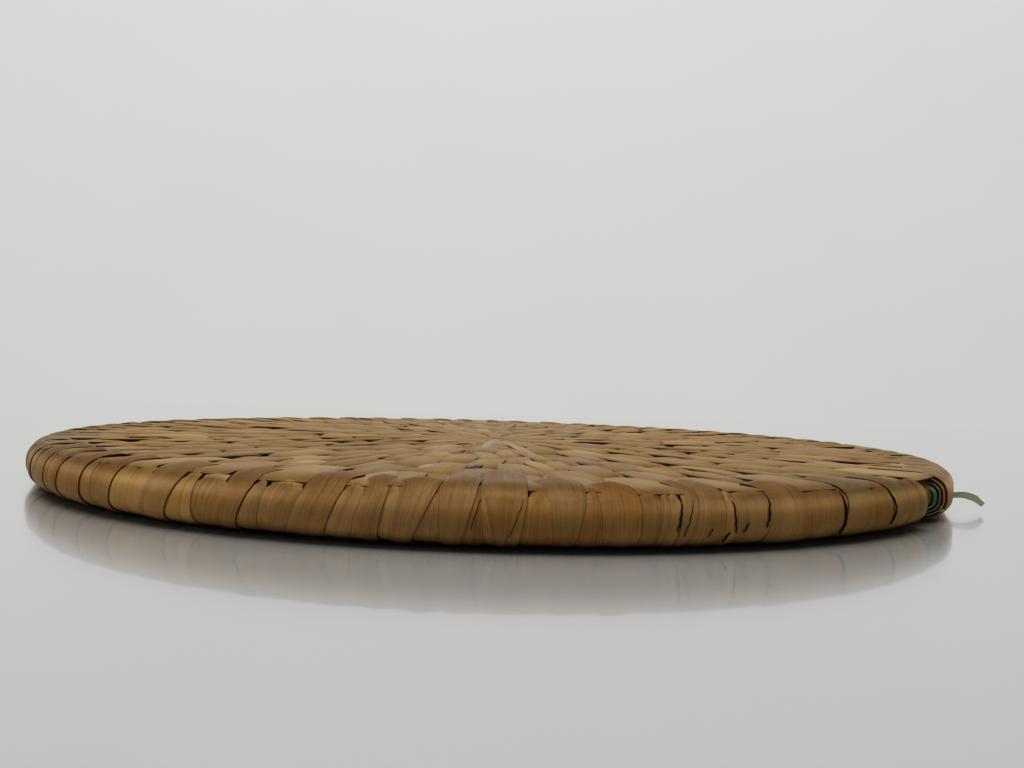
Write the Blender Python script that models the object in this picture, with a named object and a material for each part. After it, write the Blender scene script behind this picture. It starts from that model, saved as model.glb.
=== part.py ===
"""A round reed trivet that lies flat: rows of short stitches, inside a wrapped rim.

The wrapping has slipped open at one place of the rim, on the right of the front. Four bands
lie inside one another there, the outermost slack, and a green strip end stands out behind them.
Angles are in degrees from the front (-Y) towards the right (+X). Lengths are in metres, and
a depth is measured inwards from the rim's outer surface.
"""

from math import cos, degrees, radians, sin
from typing import NamedTuple

import bmesh
import bpy

# Driving sizes of the whole trivet
RADIUS = 0.110
THICKNESS = 0.0094
BULGE = 0.0064  # radial width of the rim's rounded side
CLEARANCE = 0.0003
MIDDLE = THICKNESS / 2
SHOULDER = RADIUS - BULGE  # radius where the flat faces turn into the rounded side

# Stitched rows of the top face
CENTRE_PAD = 0.006  # radius of the flat place in the middle
CREST_INSET = 0.0042  # from a row's edge to its full height
GROOVE_INSET = 0.0008  # from a row's edge to the bottom of its slope
CREST_SEAM = 0.0011  # depth of the seam between two stitches
GROOVE_FALL = 0.0013  # how far a stitch's ends lie below its crest
GROOVE_SEAM = 0.0021  # the same at the seam between two stitches

# Underside
LAND_INSET = 0.003  # from a row's edge to the flat land it rests on
LAND_GROOVE = 0.0009
UNDER_STEPS = 48
FOOT_EDGE = 0.0985  # the field's land ends here, where the rim's own begins

# Rim wrapping
WRAP_WALL = 0.0012
WRAP_PAIRS = 58  # a long stitch and a short wrap each
WRAP_SEAM = 0.00045
LONG_SHARE = 0.54  # of a pair's width, at mid height
LONG_SHOULDER = 0.28  # of the long stitch's width, from its edge to its full height
FAN = 0.10  # of a pair's width: each long stitch widens this much at the top, and narrows below
LONG_REACH = 0.0948  # radius where the long stitches end on the top face
EDGE_REACH = 0.0990
SHORT_REACH = 0.1026
UNDER_REACH = 0.1000
END_FALL = 0.0004  # how far a wrap's end bends down on the top face
OUTER_ARC = (90, 60, 30, 0, -30, -60, -90)
INNER_ARC = (90, 0, -90)

# Open place in the wrapping
OPEN_FROM = 46.5
OPEN_TO = 55.5
CORE_DEPTH = 0.0031
CORE_BULGE = 0.0045
CORE_FROM = 45.0
CORE_TO = 57.5
CORE_REACH = 0.0970
CORE_RAMP = 1.5  # degrees over which the core drops to its lower level
PUFF = 0.00035  # the bands stand this much further out than the rim
BAND_THICKNESS = 0.00045
BAND_ARC = (90, 67, 45, 22, 0, -22, -45, -67, -90)
SLACK_POWER = 3.5  # the slack band's lower half is squarer than an ellipse, whose power is 2

# Loose strip end
END_ANGLE = 64.4
END_THICKNESS = 0.0005

REED = (0.42, 0.29, 0.15)
REED_LIGHT = (0.50, 0.37, 0.21)
REED_TEAL = (0.10, 0.15, 0.14)
REED_GREEN = (0.21, 0.26, 0.16)


class Row(NamedTuple):
    """One ring of stitches on the top face."""

    inner: float
    outer: float
    stitches: int
    turn: float
    inner_fall: float  # share of the full fall at the stitches' inner ends


ROWS = (
    Row(inner=0.006, outer=0.022, stitches=12, turn=4.0, inner_fall=0.3),
    Row(inner=0.022, outer=0.040, stitches=24, turn=0.0, inner_fall=1.0),
    Row(inner=0.040, outer=0.058, stitches=38, turn=2.5, inner_fall=1.0),
    Row(inner=0.058, outer=0.076, stitches=52, turn=0.0, inner_fall=1.0),
    Row(inner=0.076, outer=0.094, stitches=66, turn=1.5, inner_fall=1.0),
)


class Band(NamedTuple):
    """One of the bands that show in the open place."""

    name: str
    layer: int
    start: float
    stop: float
    top_reach: float
    colour: tuple


BANDS = (
    Band(name="slack_loop", layer=0, start=51.8, stop=55.3, top_reach=0.0960, colour=REED_LIGHT),
    Band(name="second_loop", layer=1, start=52.2, stop=55.3, top_reach=0.0965, colour=REED_LIGHT),
    Band(name="third_loop", layer=2, start=53.0, stop=55.3, top_reach=0.0970, colour=REED),
    Band(name="inner_strip", layer=3, start=50.0, stop=52.7, top_reach=0.0976, colour=REED_TEAL),
)


class EndSection(NamedTuple):
    """One section of the loose strip end."""

    out: float
    height: float
    width: float
    slope: float


END_SECTIONS = (
    EndSection(out=0.0000, height=0.00315, width=0.0014, slope=12),
    EndSection(out=0.0013, height=0.00340, width=0.0014, slope=5),
    EndSection(out=0.0024, height=0.00338, width=0.0014, slope=-6),
    EndSection(out=0.0036, height=0.00310, width=0.0013, slope=-20),
    EndSection(out=0.0043, height=0.00275, width=0.0011, slope=-35),
    EndSection(out=0.0048, height=0.00230, width=0.0010, slope=-47),
    EndSection(out=0.0056, height=0.00140, width=0.0008, slope=-45),
)


class Loop(NamedTuple):
    """A closed loop of mesh points round the axis, with the angle of each."""

    points: list
    angles: list


def place(angle, radius, height):
    """The point at an angle from the front, a radius from the axis and a height."""
    turned = radians(angle)
    return (radius * sin(turned), -radius * cos(turned), height)


def loop_at(mesh, angles, radii, heights):
    """Adds a loop with a point at each angle."""
    points = []
    for angle, radius, height in zip(angles, radii, heights):
        points.append(mesh.verts.new(place(angle, radius, height)))
    return Loop(points, list(angles))


def flat_loop(mesh, angles, radius, height):
    """Adds a round loop at one height."""
    return loop_at(mesh, angles, [radius] * len(angles), [height] * len(angles))


def join_loops(mesh, first, second):
    """Fills the band between two loops, whose counts may differ, with triangles."""
    start = min(range(len(second.angles)), key=lambda j: abs(second.angles[j] - first.angles[0]))
    i, j = 0, 0
    while i < len(first.points) or j < len(second.points):
        next_first = unrolled(first, i + 1)
        next_second = unrolled(second, start + j + 1)
        here = first.points[i % len(first.points)]
        there = second.points[(start + j) % len(second.points)]
        step_first = j >= len(second.points) or (i < len(first.points) and next_first <= next_second)
        if step_first:
            i += 1
            mesh.faces.new((here, there, first.points[i % len(first.points)]))
        else:
            j += 1
            mesh.faces.new((here, there, second.points[(start + j) % len(second.points)]))


def unrolled(loop, index):
    """A loop point's angle, counted on past a full turn."""
    count = len(loop.angles)
    return loop.angles[index % count] + 360 * (index // count)


def rim_outline(depth, bulge, top_reach, bottom_reach, arc):
    """Radius and height of points from the top face round the rim to the underside."""
    wide = bulge - depth
    tall = MIDDLE - depth
    side = [(SHOULDER + wide * cos(radians(a)), MIDDLE + tall * sin(radians(a))) for a in arc]
    return [(top_reach, THICKNESS - depth), *side, (bottom_reach, depth)]


def row_loops(mesh, row):
    """The four loops of one stitched row, from its inner edge to its outer one."""
    steps = 2 * row.stitches
    angles = [row.turn + 360 * step / steps for step in range(steps)]
    loops = []
    for radius, crown, seam in (
        (row.inner + GROOVE_INSET, row.inner_fall * GROOVE_FALL, row.inner_fall * GROOVE_SEAM),
        (row.inner + CREST_INSET, 0, CREST_SEAM),
        (row.outer - CREST_INSET, 0, CREST_SEAM),
        (row.outer - GROOVE_INSET, GROOVE_FALL, GROOVE_SEAM),
    ):
        heights = [THICKNESS - (crown if step % 2 else seam) for step in range(steps)]
        loops.append(loop_at(mesh, angles, [radius] * steps, heights))
    return loops


def core_angles():
    """Angles of the field's edge: even steps, and extra ones at the open place."""
    even = [angle for angle in range(0, 360, 6) if not CORE_FROM <= angle <= CORE_TO]
    extra = [CORE_FROM, CORE_FROM + CORE_RAMP, CORE_TO - CORE_RAMP, CORE_TO]
    return sorted(even + extra)


def edge_loops(mesh):
    """Loops of the field's edge under the wrapping, which is lower in the open place."""
    angles = core_angles()
    closed = rim_outline(WRAP_WALL + CLEARANCE, BULGE, LONG_REACH - CLEARANCE, UNDER_REACH, INNER_ARC)
    opened = rim_outline(CORE_DEPTH, CORE_BULGE, CORE_REACH, UNDER_REACH, INNER_ARC)
    loops = [flat_loop(mesh, angles, closed[0][0], closed[0][1])]
    loops.append(flat_loop(mesh, angles, CORE_REACH - CLEARANCE, closed[0][1]))
    low_from, low_to = CORE_FROM + CORE_RAMP, CORE_TO - CORE_RAMP
    inside = [low_from <= angle <= low_to for angle in angles]
    closed[0] = (CORE_REACH, closed[0][1])
    closed[-1] = (UNDER_REACH - CLEARANCE, closed[-1][1])
    opened[-1] = (UNDER_REACH - CLEARANCE, opened[-1][1])
    for whole, cut in zip(closed, opened):
        picked = [cut if low else whole for low in inside]
        loops.append(loop_at(mesh, angles, [p[0] for p in picked], [p[1] for p in picked]))
    return loops


def under_loops(mesh):
    """Loops of the underside: flat lands with a groove between rows, from the edge inwards."""
    angles = [360 * step / UNDER_STEPS for step in range(UNDER_STEPS)]
    loops = [flat_loop(mesh, angles, FOOT_EDGE, 0)]
    for row in reversed(ROWS):
        loops.append(flat_loop(mesh, angles, row.outer + LAND_INSET, 0))
        loops.append(flat_loop(mesh, angles, row.outer, LAND_GROOVE))
        loops.append(flat_loop(mesh, angles, row.outer - LAND_INSET, 0))
    return loops


def finish(mesh, name, colour):
    """Turns the faces outwards and puts the mesh in the scene with a material of its own."""
    bmesh.ops.recalc_face_normals(mesh, faces=mesh.faces)
    data = bpy.data.meshes.new(name)
    mesh.to_mesh(data)
    mesh.free()
    data.shade_smooth()
    data.set_sharp_from_angle(angle=radians(40))
    material = bpy.data.materials.new(name)
    material.use_nodes = True
    shader = material.node_tree.nodes["Principled BSDF"]
    shader.inputs["Base Color"].default_value = (*colour, 1)
    shader.inputs["Roughness"].default_value = 0.5
    shader.inputs["Metallic"].default_value = 0
    data.materials.append(material)
    thing = bpy.data.objects.new(name, data)
    bpy.context.scene.collection.objects.link(thing)
    return thing


def stitched_field():
    """The flat field: stitched rows on top, a rounded edge, and flat lands below."""
    mesh = bmesh.new()
    pad_steps = 2 * ROWS[0].stitches
    pad_angles = [ROWS[0].turn + 360 * step / pad_steps for step in range(pad_steps)]
    pad = flat_loop(mesh, pad_angles, CENTRE_PAD, THICKNESS)
    loops = [pad]
    for row in ROWS:
        loops += row_loops(mesh, row)
    loops += edge_loops(mesh)
    loops += under_loops(mesh)
    for first, second in zip(loops, loops[1:]):
        join_loops(mesh, first, second)
    mesh.faces.new(pad.points)
    mesh.faces.new(loops[-1].points)
    return finish(mesh, "stitched_field", REED)


def lofted(mesh, sections):
    """Joins closed sections of equal counts into a skin and closes both ends."""
    rings = [[mesh.verts.new(point) for point in section] for section in sections]
    for ring, following in zip(rings, rings[1:]):
        for k in range(len(ring)):
            after = (k + 1) % len(ring)
            mesh.faces.new((ring[k], ring[after], following[after], following[k]))
    mesh.faces.new(rings[0])
    mesh.faces.new(rings[-1])


def wrap_stations():
    """Where the wrapping is sectioned: place in the round, seam depth, reach and fan."""
    pair = (360 - OPEN_TO + OPEN_FROM) / WRAP_PAIRS
    short = (1 - LONG_SHARE) * pair
    rise = LONG_SHARE * LONG_SHOULDER * pair
    spread = FAN * pair
    stations = []
    for number in range(WRAP_PAIRS):
        start = OPEN_TO + number * pair
        stations.append((start, WRAP_SEAM, EDGE_REACH, spread if number else 0))
        stations.append((start + short / 2, 0, SHORT_REACH, 0))
        stations.append((start + short, WRAP_SEAM, EDGE_REACH, -spread))
        stations.append((start + short + rise, 0, LONG_REACH, -spread / 2))
        stations.append((start + pair - rise, 0, LONG_REACH, spread / 2))
    stations.append((360 + OPEN_FROM, WRAP_SEAM, EDGE_REACH, 0))
    return stations


def wrap_section(angle, seam, reach, spread):
    """One section of the wrapping. Its underside stays flat, so that the rim rests on it."""
    outer = rim_outline(seam, BULGE, reach, UNDER_REACH, OUTER_ARC)
    outer[0] = (reach, THICKNESS - seam - END_FALL)
    outer[-2] = (SHOULDER, 0)
    outer[-1] = (UNDER_REACH, 0)
    inner = rim_outline(WRAP_WALL, BULGE, reach, UNDER_REACH, INNER_ARC)
    points = []
    for radius, height in outer + inner[::-1]:
        lean = spread * (height - MIDDLE) / MIDDLE
        points.append(place(angle + lean, radius, height))
    return points


def rim_wrapping():
    """The wrapped rim: a ring of long stitches and short wraps with one open place."""
    mesh = bmesh.new()
    lofted(mesh, [wrap_section(*station) for station in wrap_stations()])
    return finish(mesh, "rim_wrapping", REED)


def band_outline(band, depth):
    """Outline of a band at a depth. The outermost one hangs slack, squarer in its lower half."""
    points = rim_outline(depth, BULGE + PUFF, band.top_reach, UNDER_REACH, BAND_ARC)
    if band.layer == 0:
        wide = BULGE + PUFF - depth
        tall = MIDDLE - depth
        for k, at in enumerate(BAND_ARC, start=1):
            if at < 0:
                across = max(0, cos(radians(at))) ** (2 / SLACK_POWER)
                down = abs(sin(radians(at))) ** (2 / SLACK_POWER)
                points[k] = (SHOULDER + wide * across, MIDDLE - tall * down)
    return points


def open_band(band):
    """One thin band that runs from the top face round the rim to the underside."""
    depth = band.layer * (BAND_THICKNESS + CLEARANCE)
    outer = band_outline(band, depth)
    inner = band_outline(band, depth + BAND_THICKNESS)
    mesh = bmesh.new()
    sections = []
    for out, back in zip(outer, inner):
        corners = ((band.start, out), (band.stop, out), (band.stop, back), (band.start, back))
        sections.append([place(angle, *point) for angle, point in corners])
    lofted(mesh, sections)
    return finish(mesh, band.name, band.colour)


def loose_end():
    """The green strip end: it stands out of the rim on its narrow edge and droops."""
    mesh = bmesh.new()
    half_turn = degrees(END_THICKNESS / 2 / RADIUS)
    sections = []
    for out, height, width, slope in END_SECTIONS:
        rise = width / 2 * cos(radians(slope))
        run = width / 2 * sin(radians(slope))
        section = []
        for side, up in ((-half_turn, 1), (half_turn, 1), (half_turn, -1), (-half_turn, -1)):
            radius = RADIUS + out - up * run
            section.append(place(END_ANGLE + side, radius, height + up * rise))
        sections.append(section)
    lofted(mesh, sections)
    return finish(mesh, "loose_end", REED_GREEN)


def main():
    """Clears the scene and builds every piece."""
    for thing in list(bpy.data.objects):
        bpy.data.objects.remove(thing)
    stitched_field()
    rim_wrapping()
    for band in BANDS:
        open_band(band)
    loose_end()


main()
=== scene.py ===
"""A round trivet of coiled rush, stitched and wrapped by hand with flat reed strips.

Lengths are in metres. Angles are in degrees, from the front towards the right.
"""

import logging
from collections.abc import Callable
from dataclasses import dataclass, field
from enum import Enum
from math import atan2, radians
from typing import NamedTuple

import bpy
import numpy as np
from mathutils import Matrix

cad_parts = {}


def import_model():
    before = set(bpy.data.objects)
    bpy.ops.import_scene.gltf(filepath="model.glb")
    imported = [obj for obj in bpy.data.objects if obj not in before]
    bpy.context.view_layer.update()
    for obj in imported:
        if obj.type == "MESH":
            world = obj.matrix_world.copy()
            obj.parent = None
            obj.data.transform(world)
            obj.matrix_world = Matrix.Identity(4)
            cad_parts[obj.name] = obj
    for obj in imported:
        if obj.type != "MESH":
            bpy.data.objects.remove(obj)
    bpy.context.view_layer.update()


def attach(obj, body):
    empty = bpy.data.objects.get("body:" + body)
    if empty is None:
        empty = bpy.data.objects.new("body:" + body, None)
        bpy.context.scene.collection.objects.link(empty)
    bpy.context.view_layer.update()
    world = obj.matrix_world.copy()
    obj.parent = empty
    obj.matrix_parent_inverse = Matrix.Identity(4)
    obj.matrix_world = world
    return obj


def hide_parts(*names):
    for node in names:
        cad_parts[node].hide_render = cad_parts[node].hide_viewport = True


log = logging.getLogger("reed_trivet")

MM = 0.001
THICKNESS = 9.4 * MM
MIDDLE = THICKNESS / 2
RADIUS = 110 * MM
REED_THICKNESS = 0.25 * MM
SEED = 41

# The rim's rounded side: its width, the radius where it starts and how square it is.
BULGE = 6.4 * MM
SHOULDER = RADIUS - BULGE
SQUARENESS = 0.80

# The radius at which the rim's angles give the widths of its strips and bands.
WRAP_RADIUS = 108 * MM

# Noise runs from 0 to 1, and nearly all of it lies between these two values.
NOISE_SPAN = (0.3, 0.7)

# Numbers of a Mix node's sockets where it mixes colours.
MIX_FACTOR, MIX_FIRST, MIX_SECOND, MIX_RESULT = 0, 6, 7, 2

# Where a strip's sides lie on its part of the flat sheet: the start and the size of each.
FACE_ACROSS = (0.02, 0.72)
BACK_ACROSS = (0.77, 0.16)
EDGES_ACROSS = {"right": (0.975, 0.015), "left": (0.945, 0.015)}
SIDES_ALONG = (0.02, 0.93)
ENDS_ALONG = {"near": (0.965, 0.008), "far": (0.985, 0.008)}


class Tone(Enum):
    """Colours of the reed, mostly what it has dried to, as red, green and blue from 0 to 255.

    GAP is painted deep shadow, and PALE and GREY also give the rim's painted highlights and sheen.
    """

    STRAW = (115, 90, 58)
    TAN = (108, 83, 53)
    GOLD = (124, 98, 60)
    RUST = (110, 82, 50)
    GREY = (107, 84, 55)
    OLIVE = (105, 83, 52)
    MOSS = (101, 85, 56)
    PALE = (146, 119, 80)
    FERN = (74, 80, 52)
    DUSK = (28, 31, 40)
    PLUM = (54, 34, 38)
    PITH = (90, 72, 46)
    TEAL = (50, 72, 62)
    GREEN = (122, 128, 104)
    GAP = (40, 26, 13)

    def linear(self) -> np.ndarray:
        """Returns the tone as linear light, by the standard curve of screen colours."""
        share = np.array(self.value) / 255
        return np.where(share <= 0.04045, share / 12.92, ((share + 0.055) / 1.055) ** 2.4)


class WrapSort(NamedTuple):
    """What sets a sort of rim strip apart, in millimetres and degrees.

    Proud is the range of how far it stands out, overlap how far it reaches over its neighbour,
    and spread how much wider it is on the top.
    """

    bend: float
    proud: tuple[float, float]
    overlap: float
    hump: float
    spread: float


class Kind(Enum):
    """The two sorts of strip that are wound round the rim: long stitches and short wraps."""

    LONG = WrapSort(bend=2.0, proud=(0.00, 0.07), overlap=0.14, hump=0.34, spread=0.25)
    SHORT = WrapSort(bend=1.1, proud=(-0.14, -0.05), overlap=0.08, hump=0.10, spread=-0.15)


def points_of(mesh: bpy.types.Mesh) -> np.ndarray:
    """Reads the points of a mesh.

    Args:
        mesh: The mesh.

    Returns:
        Rows of x, y and z.
    """
    spots = np.empty(len(mesh.vertices) * 3)
    mesh.vertices.foreach_get("co", spots)
    return spots.reshape(-1, 3)


def corners_of(mesh: bpy.types.Mesh) -> np.ndarray:
    """Reads which point each corner of a mesh's faces stands on.

    Args:
        mesh: The mesh.

    Returns:
        The points' numbers, corner by corner.
    """
    corners = np.empty(len(mesh.loops), int)
    mesh.loops.foreach_get("vertex_index", corners)
    return corners


def paint_points(mesh: bpy.types.Mesh, colours: np.ndarray) -> None:
    """Gives each point of a mesh the colour that the finishes read.

    Args:
        mesh: The mesh.
        colours: Rows of linear red, green and blue, one for each point.
    """
    paint = np.ones((len(colours), 4))
    paint[:, :3] = colours
    mesh.attributes.new("reed_colour", "FLOAT_COLOR", "POINT")
    mesh.attributes["reed_colour"].data.foreach_set("color", paint.ravel())


def add_map(mesh: bpy.types.Mesh, name: str, places: np.ndarray) -> None:
    """Adds a flat map to a mesh, from rows of across and along for the faces' corners."""
    mesh.uv_layers.new(name=name).data.foreach_set("uv", places.ravel())


def drop_maps(mesh: bpy.types.Mesh) -> None:
    """Takes off the maps that a mesh's primitive came with."""
    while mesh.uv_layers:
        mesh.uv_layers.remove(mesh.uv_layers[0])


def read_off(table: tuple[tuple[float, float], ...], at: np.ndarray) -> np.ndarray:
    """Returns a table's values at given places, with straight lines between its rows."""
    return np.interp(at, *zip(*table))


def pick(tones: tuple[Tone, ...], draw: np.random.Generator) -> Tone:
    """Returns one of some tones, drawn from the given source."""
    return tones[draw.integers(len(tones))]


def choose_nothing() -> None:
    """Leaves edit mode and deselects every object."""
    if bpy.context.object and bpy.context.object.mode != "OBJECT":
        bpy.ops.object.mode_set(mode="OBJECT")
    bpy.ops.object.select_all(action="DESELECT")


def choose_points(thing: bpy.types.Object, test: Callable[[np.ndarray], np.ndarray]) -> None:
    """Opens an object in edit mode with the points selected that a test picks.

    Args:
        thing: The mesh object to edit.
        test: Takes the points as rows of x, y and z and returns a truth value for each.
    """
    if thing.mode != "OBJECT":
        bpy.ops.object.mode_set(mode="OBJECT")
    mesh = thing.data
    picked = test(points_of(mesh))
    mesh.polygons.foreach_set("select", np.zeros(len(mesh.polygons), bool))
    mesh.edges.foreach_set("select", np.zeros(len(mesh.edges), bool))
    mesh.vertices.foreach_set("select", picked)
    bpy.ops.object.mode_set(mode="EDIT")
    bpy.ops.mesh.select_mode(type="VERT")


def apply_modifier(thing: bpy.types.Object, kind: str, **settings: object) -> None:
    """Adds a modifier to an object and applies it.

    Args:
        thing: The object, which becomes the active one.
        kind: Blender's name for the modifier's type.
        **settings: Values of the modifier's own settings.
    """
    choose_nothing()
    bpy.context.view_layer.objects.active = thing
    thing.select_set(True)
    modifier = thing.modifiers.new(kind.title(), kind)
    for name, value in settings.items():
        setattr(modifier, name, value)
    bpy.ops.object.modifier_apply(modifier=modifier.name)


class Board:
    """The node board of one material."""

    def __init__(self, name: str) -> None:
        """Opens an empty board.

        Args:
            name: The material's name.
        """
        self.material = bpy.data.materials.new(name)
        self.material.use_nodes = True
        self.tree = self.material.node_tree
        self.tree.nodes.clear()

    def add(self, kind: str, settings: dict | None = None, **sockets: object) -> bpy.types.Node:
        """Adds a node.

        Args:
            kind: The node's type, without the ShaderNode in front.
            settings: Values of the node's own settings.
            **sockets: For each input, spaces written as underscores, a value or an output.

        Returns:
            The new node.
        """
        node = self.tree.nodes.new("ShaderNode" + kind)
        for name, value in (settings or {}).items():
            setattr(node, name, value)
        for name, value in sockets.items():
            wanted = name.replace("_", " ")
            entry = next(s for s in node.inputs if s.name == wanted and s.enabled)
            self.feed(entry, value)
        return node

    def feed(self, entry: bpy.types.NodeSocket, value: object) -> None:
        """Links an output to an input, or sets the input's value.

        Args:
            entry: The input.
            value: The output to link, or a plain value.
        """
        if isinstance(value, bpy.types.NodeSocket):
            self.tree.links.new(value, entry)
        else:
            entry.default_value = value

    def spread(self, source: bpy.types.NodeSocket, low: float, high: float, floor: float,
               ceiling: float) -> bpy.types.NodeSocket:
        """Maps a value from low and high to floor and ceiling, and holds it there beyond.

        Args:
            source: The value to map.
            low: The source value that gives the floor.
            high: The source value that gives the ceiling.
            floor: The result at low.
            ceiling: The result at high.

        Returns:
            The mapped value's output.
        """
        node = self.add("MapRange", From_Min=low, From_Max=high, To_Min=floor, To_Max=ceiling)
        self.feed(node.inputs["Value"], source)
        return node.outputs["Result"]

    def combine(self, operation: str, first: object, second: object) -> bpy.types.NodeSocket:
        """Combines two numbers.

        Args:
            operation: The Math node's operation.
            first: The first number or output.
            second: The second number or output.

        Returns:
            The result's output.
        """
        node = self.add("Math", {"operation": operation})
        self.feed(node.inputs[0], first)
        self.feed(node.inputs[1], second)
        return node.outputs[0]

    def dim(self, colour: bpy.types.NodeSocket, share: bpy.types.NodeSocket) -> bpy.types.NodeSocket:
        """Multiplies a colour by a number.

        Args:
            colour: The colour's output.
            share: The number's output.

        Returns:
            The dimmed colour's output.
        """
        node = self.add("VectorMath", {"operation": "SCALE"}, Scale=share)
        self.feed(node.inputs[0], colour)
        return node.outputs[0]


@dataclass(frozen=True)
class ReedFinish:
    """Dried reed: fine lines along the strip, slow stains and a satin skin.

    Contrast strengthens the lines and streaks, each of which darkens and brightens by its
    swing. Streaks are longer than lines, and cracks finer and shorter, by the shares given.
    Crack_range and stain_range are values of the noise. The edges are darkened with painted
    shade, where strips meet and dip under one another. Glint is the colour of the gloss, and
    tint is what the strip's own colour is multiplied by.
    """

    name: str
    line_width: float = 0.17 * MM
    line_length: float = 22 * MM
    line_depth: float = 0.05 * MM
    line_relief: float = 0.9
    line_shade: float = 0.22
    line_swing: tuple[float, float] = (1.0, 0.6)
    contrast: float = 1.0
    streak_width: float = 1.3 * MM
    streak_stretch: float = 3
    streak_swing: tuple[float, float] = (0.6, 0.5)
    crack_width: float = 0.8
    crack_length: float = 0.5
    crack_range: tuple[float, float] = (0.29, 0.34)
    crack_shade: float = 0.62
    stain_size: float = 7 * MM
    stain_range: tuple[float, float] = (0.42, 0.68)
    stain_share: float = 0.55
    stain_colour: tuple[float, float, float] = (0.86, 0.70, 0.52)
    edge_start: float = 0.94
    edge_shade: float = 0.20
    soft_start: float = 0.45
    soft_edge_shade: float = 0.0
    roughness: float = 0.50
    rough_span: tuple[float, float] = (-0.07, 0.10)
    satin: float = 0.10
    shine: float = 0.012
    glint: tuple[float, float, float] = (0.62, 0.48, 0.30)
    tint: tuple[float, float, float] = (1.0, 1.0, 1.0)

    def material(self) -> bpy.types.Material:
        """Builds the finish on the strips' own colour and lengthwise map.

        Returns:
            The material.
        """
        board = Board(self.name)
        place = board.add("UVMap", {"uv_map": "reed"}).outputs[0]
        lines = self.grain(board, place, self.line_width, self.line_length, detail=4.0)
        streaks = self.grain(board, place, self.streak_width,
                             self.streak_stretch * self.line_length, detail=2.0)
        cracks = self.grain(board, place, self.crack_width * self.line_width,
                            self.crack_length * self.line_length, detail=1.0)
        crack = board.spread(cracks, *self.crack_range, self.crack_shade, 1.0)
        colour = board.dim(self.stained(board), self.shade(board, lines, streaks, crack))
        relief = board.combine("MULTIPLY", lines, crack)
        bump = board.add("Bump", Height=relief, Distance=self.line_depth, Strength=self.line_relief)
        gloss = board.spread(streaks, *NOISE_SPAN, *(self.roughness + more
                                                     for more in self.rough_span))
        shader = board.add("BsdfPrincipled", Base_Color=colour, Roughness=gloss,
                           Normal=bump.outputs[0])
        shader.inputs["Specular IOR Level"].default_value = self.shine
        shader.inputs["Metallic"].default_value = self.satin
        shader.inputs["Specular Tint"].default_value = (*self.glint, 1.0)
        board.add("OutputMaterial", Surface=shader.outputs[0])
        return board.material

    def stained(self, board: Board) -> bpy.types.NodeSocket:
        """Adds the strip's own colour, tinted, with slow stains over it.

        Args:
            board: The material's board.

        Returns:
            The colour's output.
        """
        tinted = board.add("VectorMath", {"operation": "MULTIPLY"})
        own = board.add("Attribute", {"attribute_name": "reed_colour"})
        board.feed(tinted.inputs[0], own.outputs["Color"])
        board.feed(tinted.inputs[1], self.tint)
        spot = board.add("TexCoord").outputs["Object"]
        stain = board.add("TexNoise", Vector=spot, Scale=1 / self.stain_size, Detail=3.0)
        share = board.spread(stain.outputs["Fac"], *self.stain_range, 0.0, self.stain_share)
        worn = board.add("Mix", {"data_type": "RGBA", "blend_type": "MULTIPLY"})
        board.feed(worn.inputs[MIX_FACTOR], share)
        board.feed(worn.inputs[MIX_FIRST], tinted.outputs[0])
        board.feed(worn.inputs[MIX_SECOND], (*self.stain_colour, 1))
        return worn.outputs[MIX_RESULT]

    def shade(self, board: Board, lines: bpy.types.NodeSocket, streaks: bpy.types.NodeSocket,
              crack: bpy.types.NodeSocket) -> bpy.types.NodeSocket:
        """Adds how bright each place is, with painted shade on the edges.

        Args:
            board: The material's board.
            lines: Output of the fine lines.
            streaks: Output of the broad streaks.
            crack: Output of the cracks' own brightness.

        Returns:
            The brightness's output.
        """
        place = board.add("UVMap", {"uv_map": "edge"}).outputs[0]
        across = board.add("SeparateXYZ", Vector=place).outputs[0]
        from_middle = board.combine("ABSOLUTE", across, 0.0)
        depth = self.line_shade * self.contrast
        darker, lighter = self.line_swing
        shade = board.spread(lines, *NOISE_SPAN, 1 - darker * depth, 1 + lighter * depth)
        darker, lighter = self.streak_swing
        for part in (board.spread(streaks, *NOISE_SPAN, 1 - darker * depth, 1 + lighter * depth),
                     crack,
                     board.spread(from_middle, self.edge_start, 1.0, 1.0, self.edge_shade),
                     board.spread(from_middle, self.soft_start, 1.0, 1.0, 1 - self.soft_edge_shade)):
            shade = board.combine("MULTIPLY", shade, part)
        return shade

    def grain(self, board: Board, place: bpy.types.NodeSocket, width: float, length: float,
              detail: float) -> bpy.types.NodeSocket:
        """Adds noise drawn out along the strip.

        Args:
            board: The material's board.
            place: The lengthwise map.
            width: Size of the noise across the strip.
            length: Size of the noise along the strip.
            detail: The noise's detail.

        Returns:
            The noise's output, about 0.5 on average.
        """
        drawn = board.add("Mapping", Vector=place, Scale=(1 / width, 1 / length, 1))
        noise = board.add("TexNoise", Vector=drawn.outputs[0], Scale=1.0, Detail=detail,
                          Roughness=0.6)
        return noise.outputs["Fac"]


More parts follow.
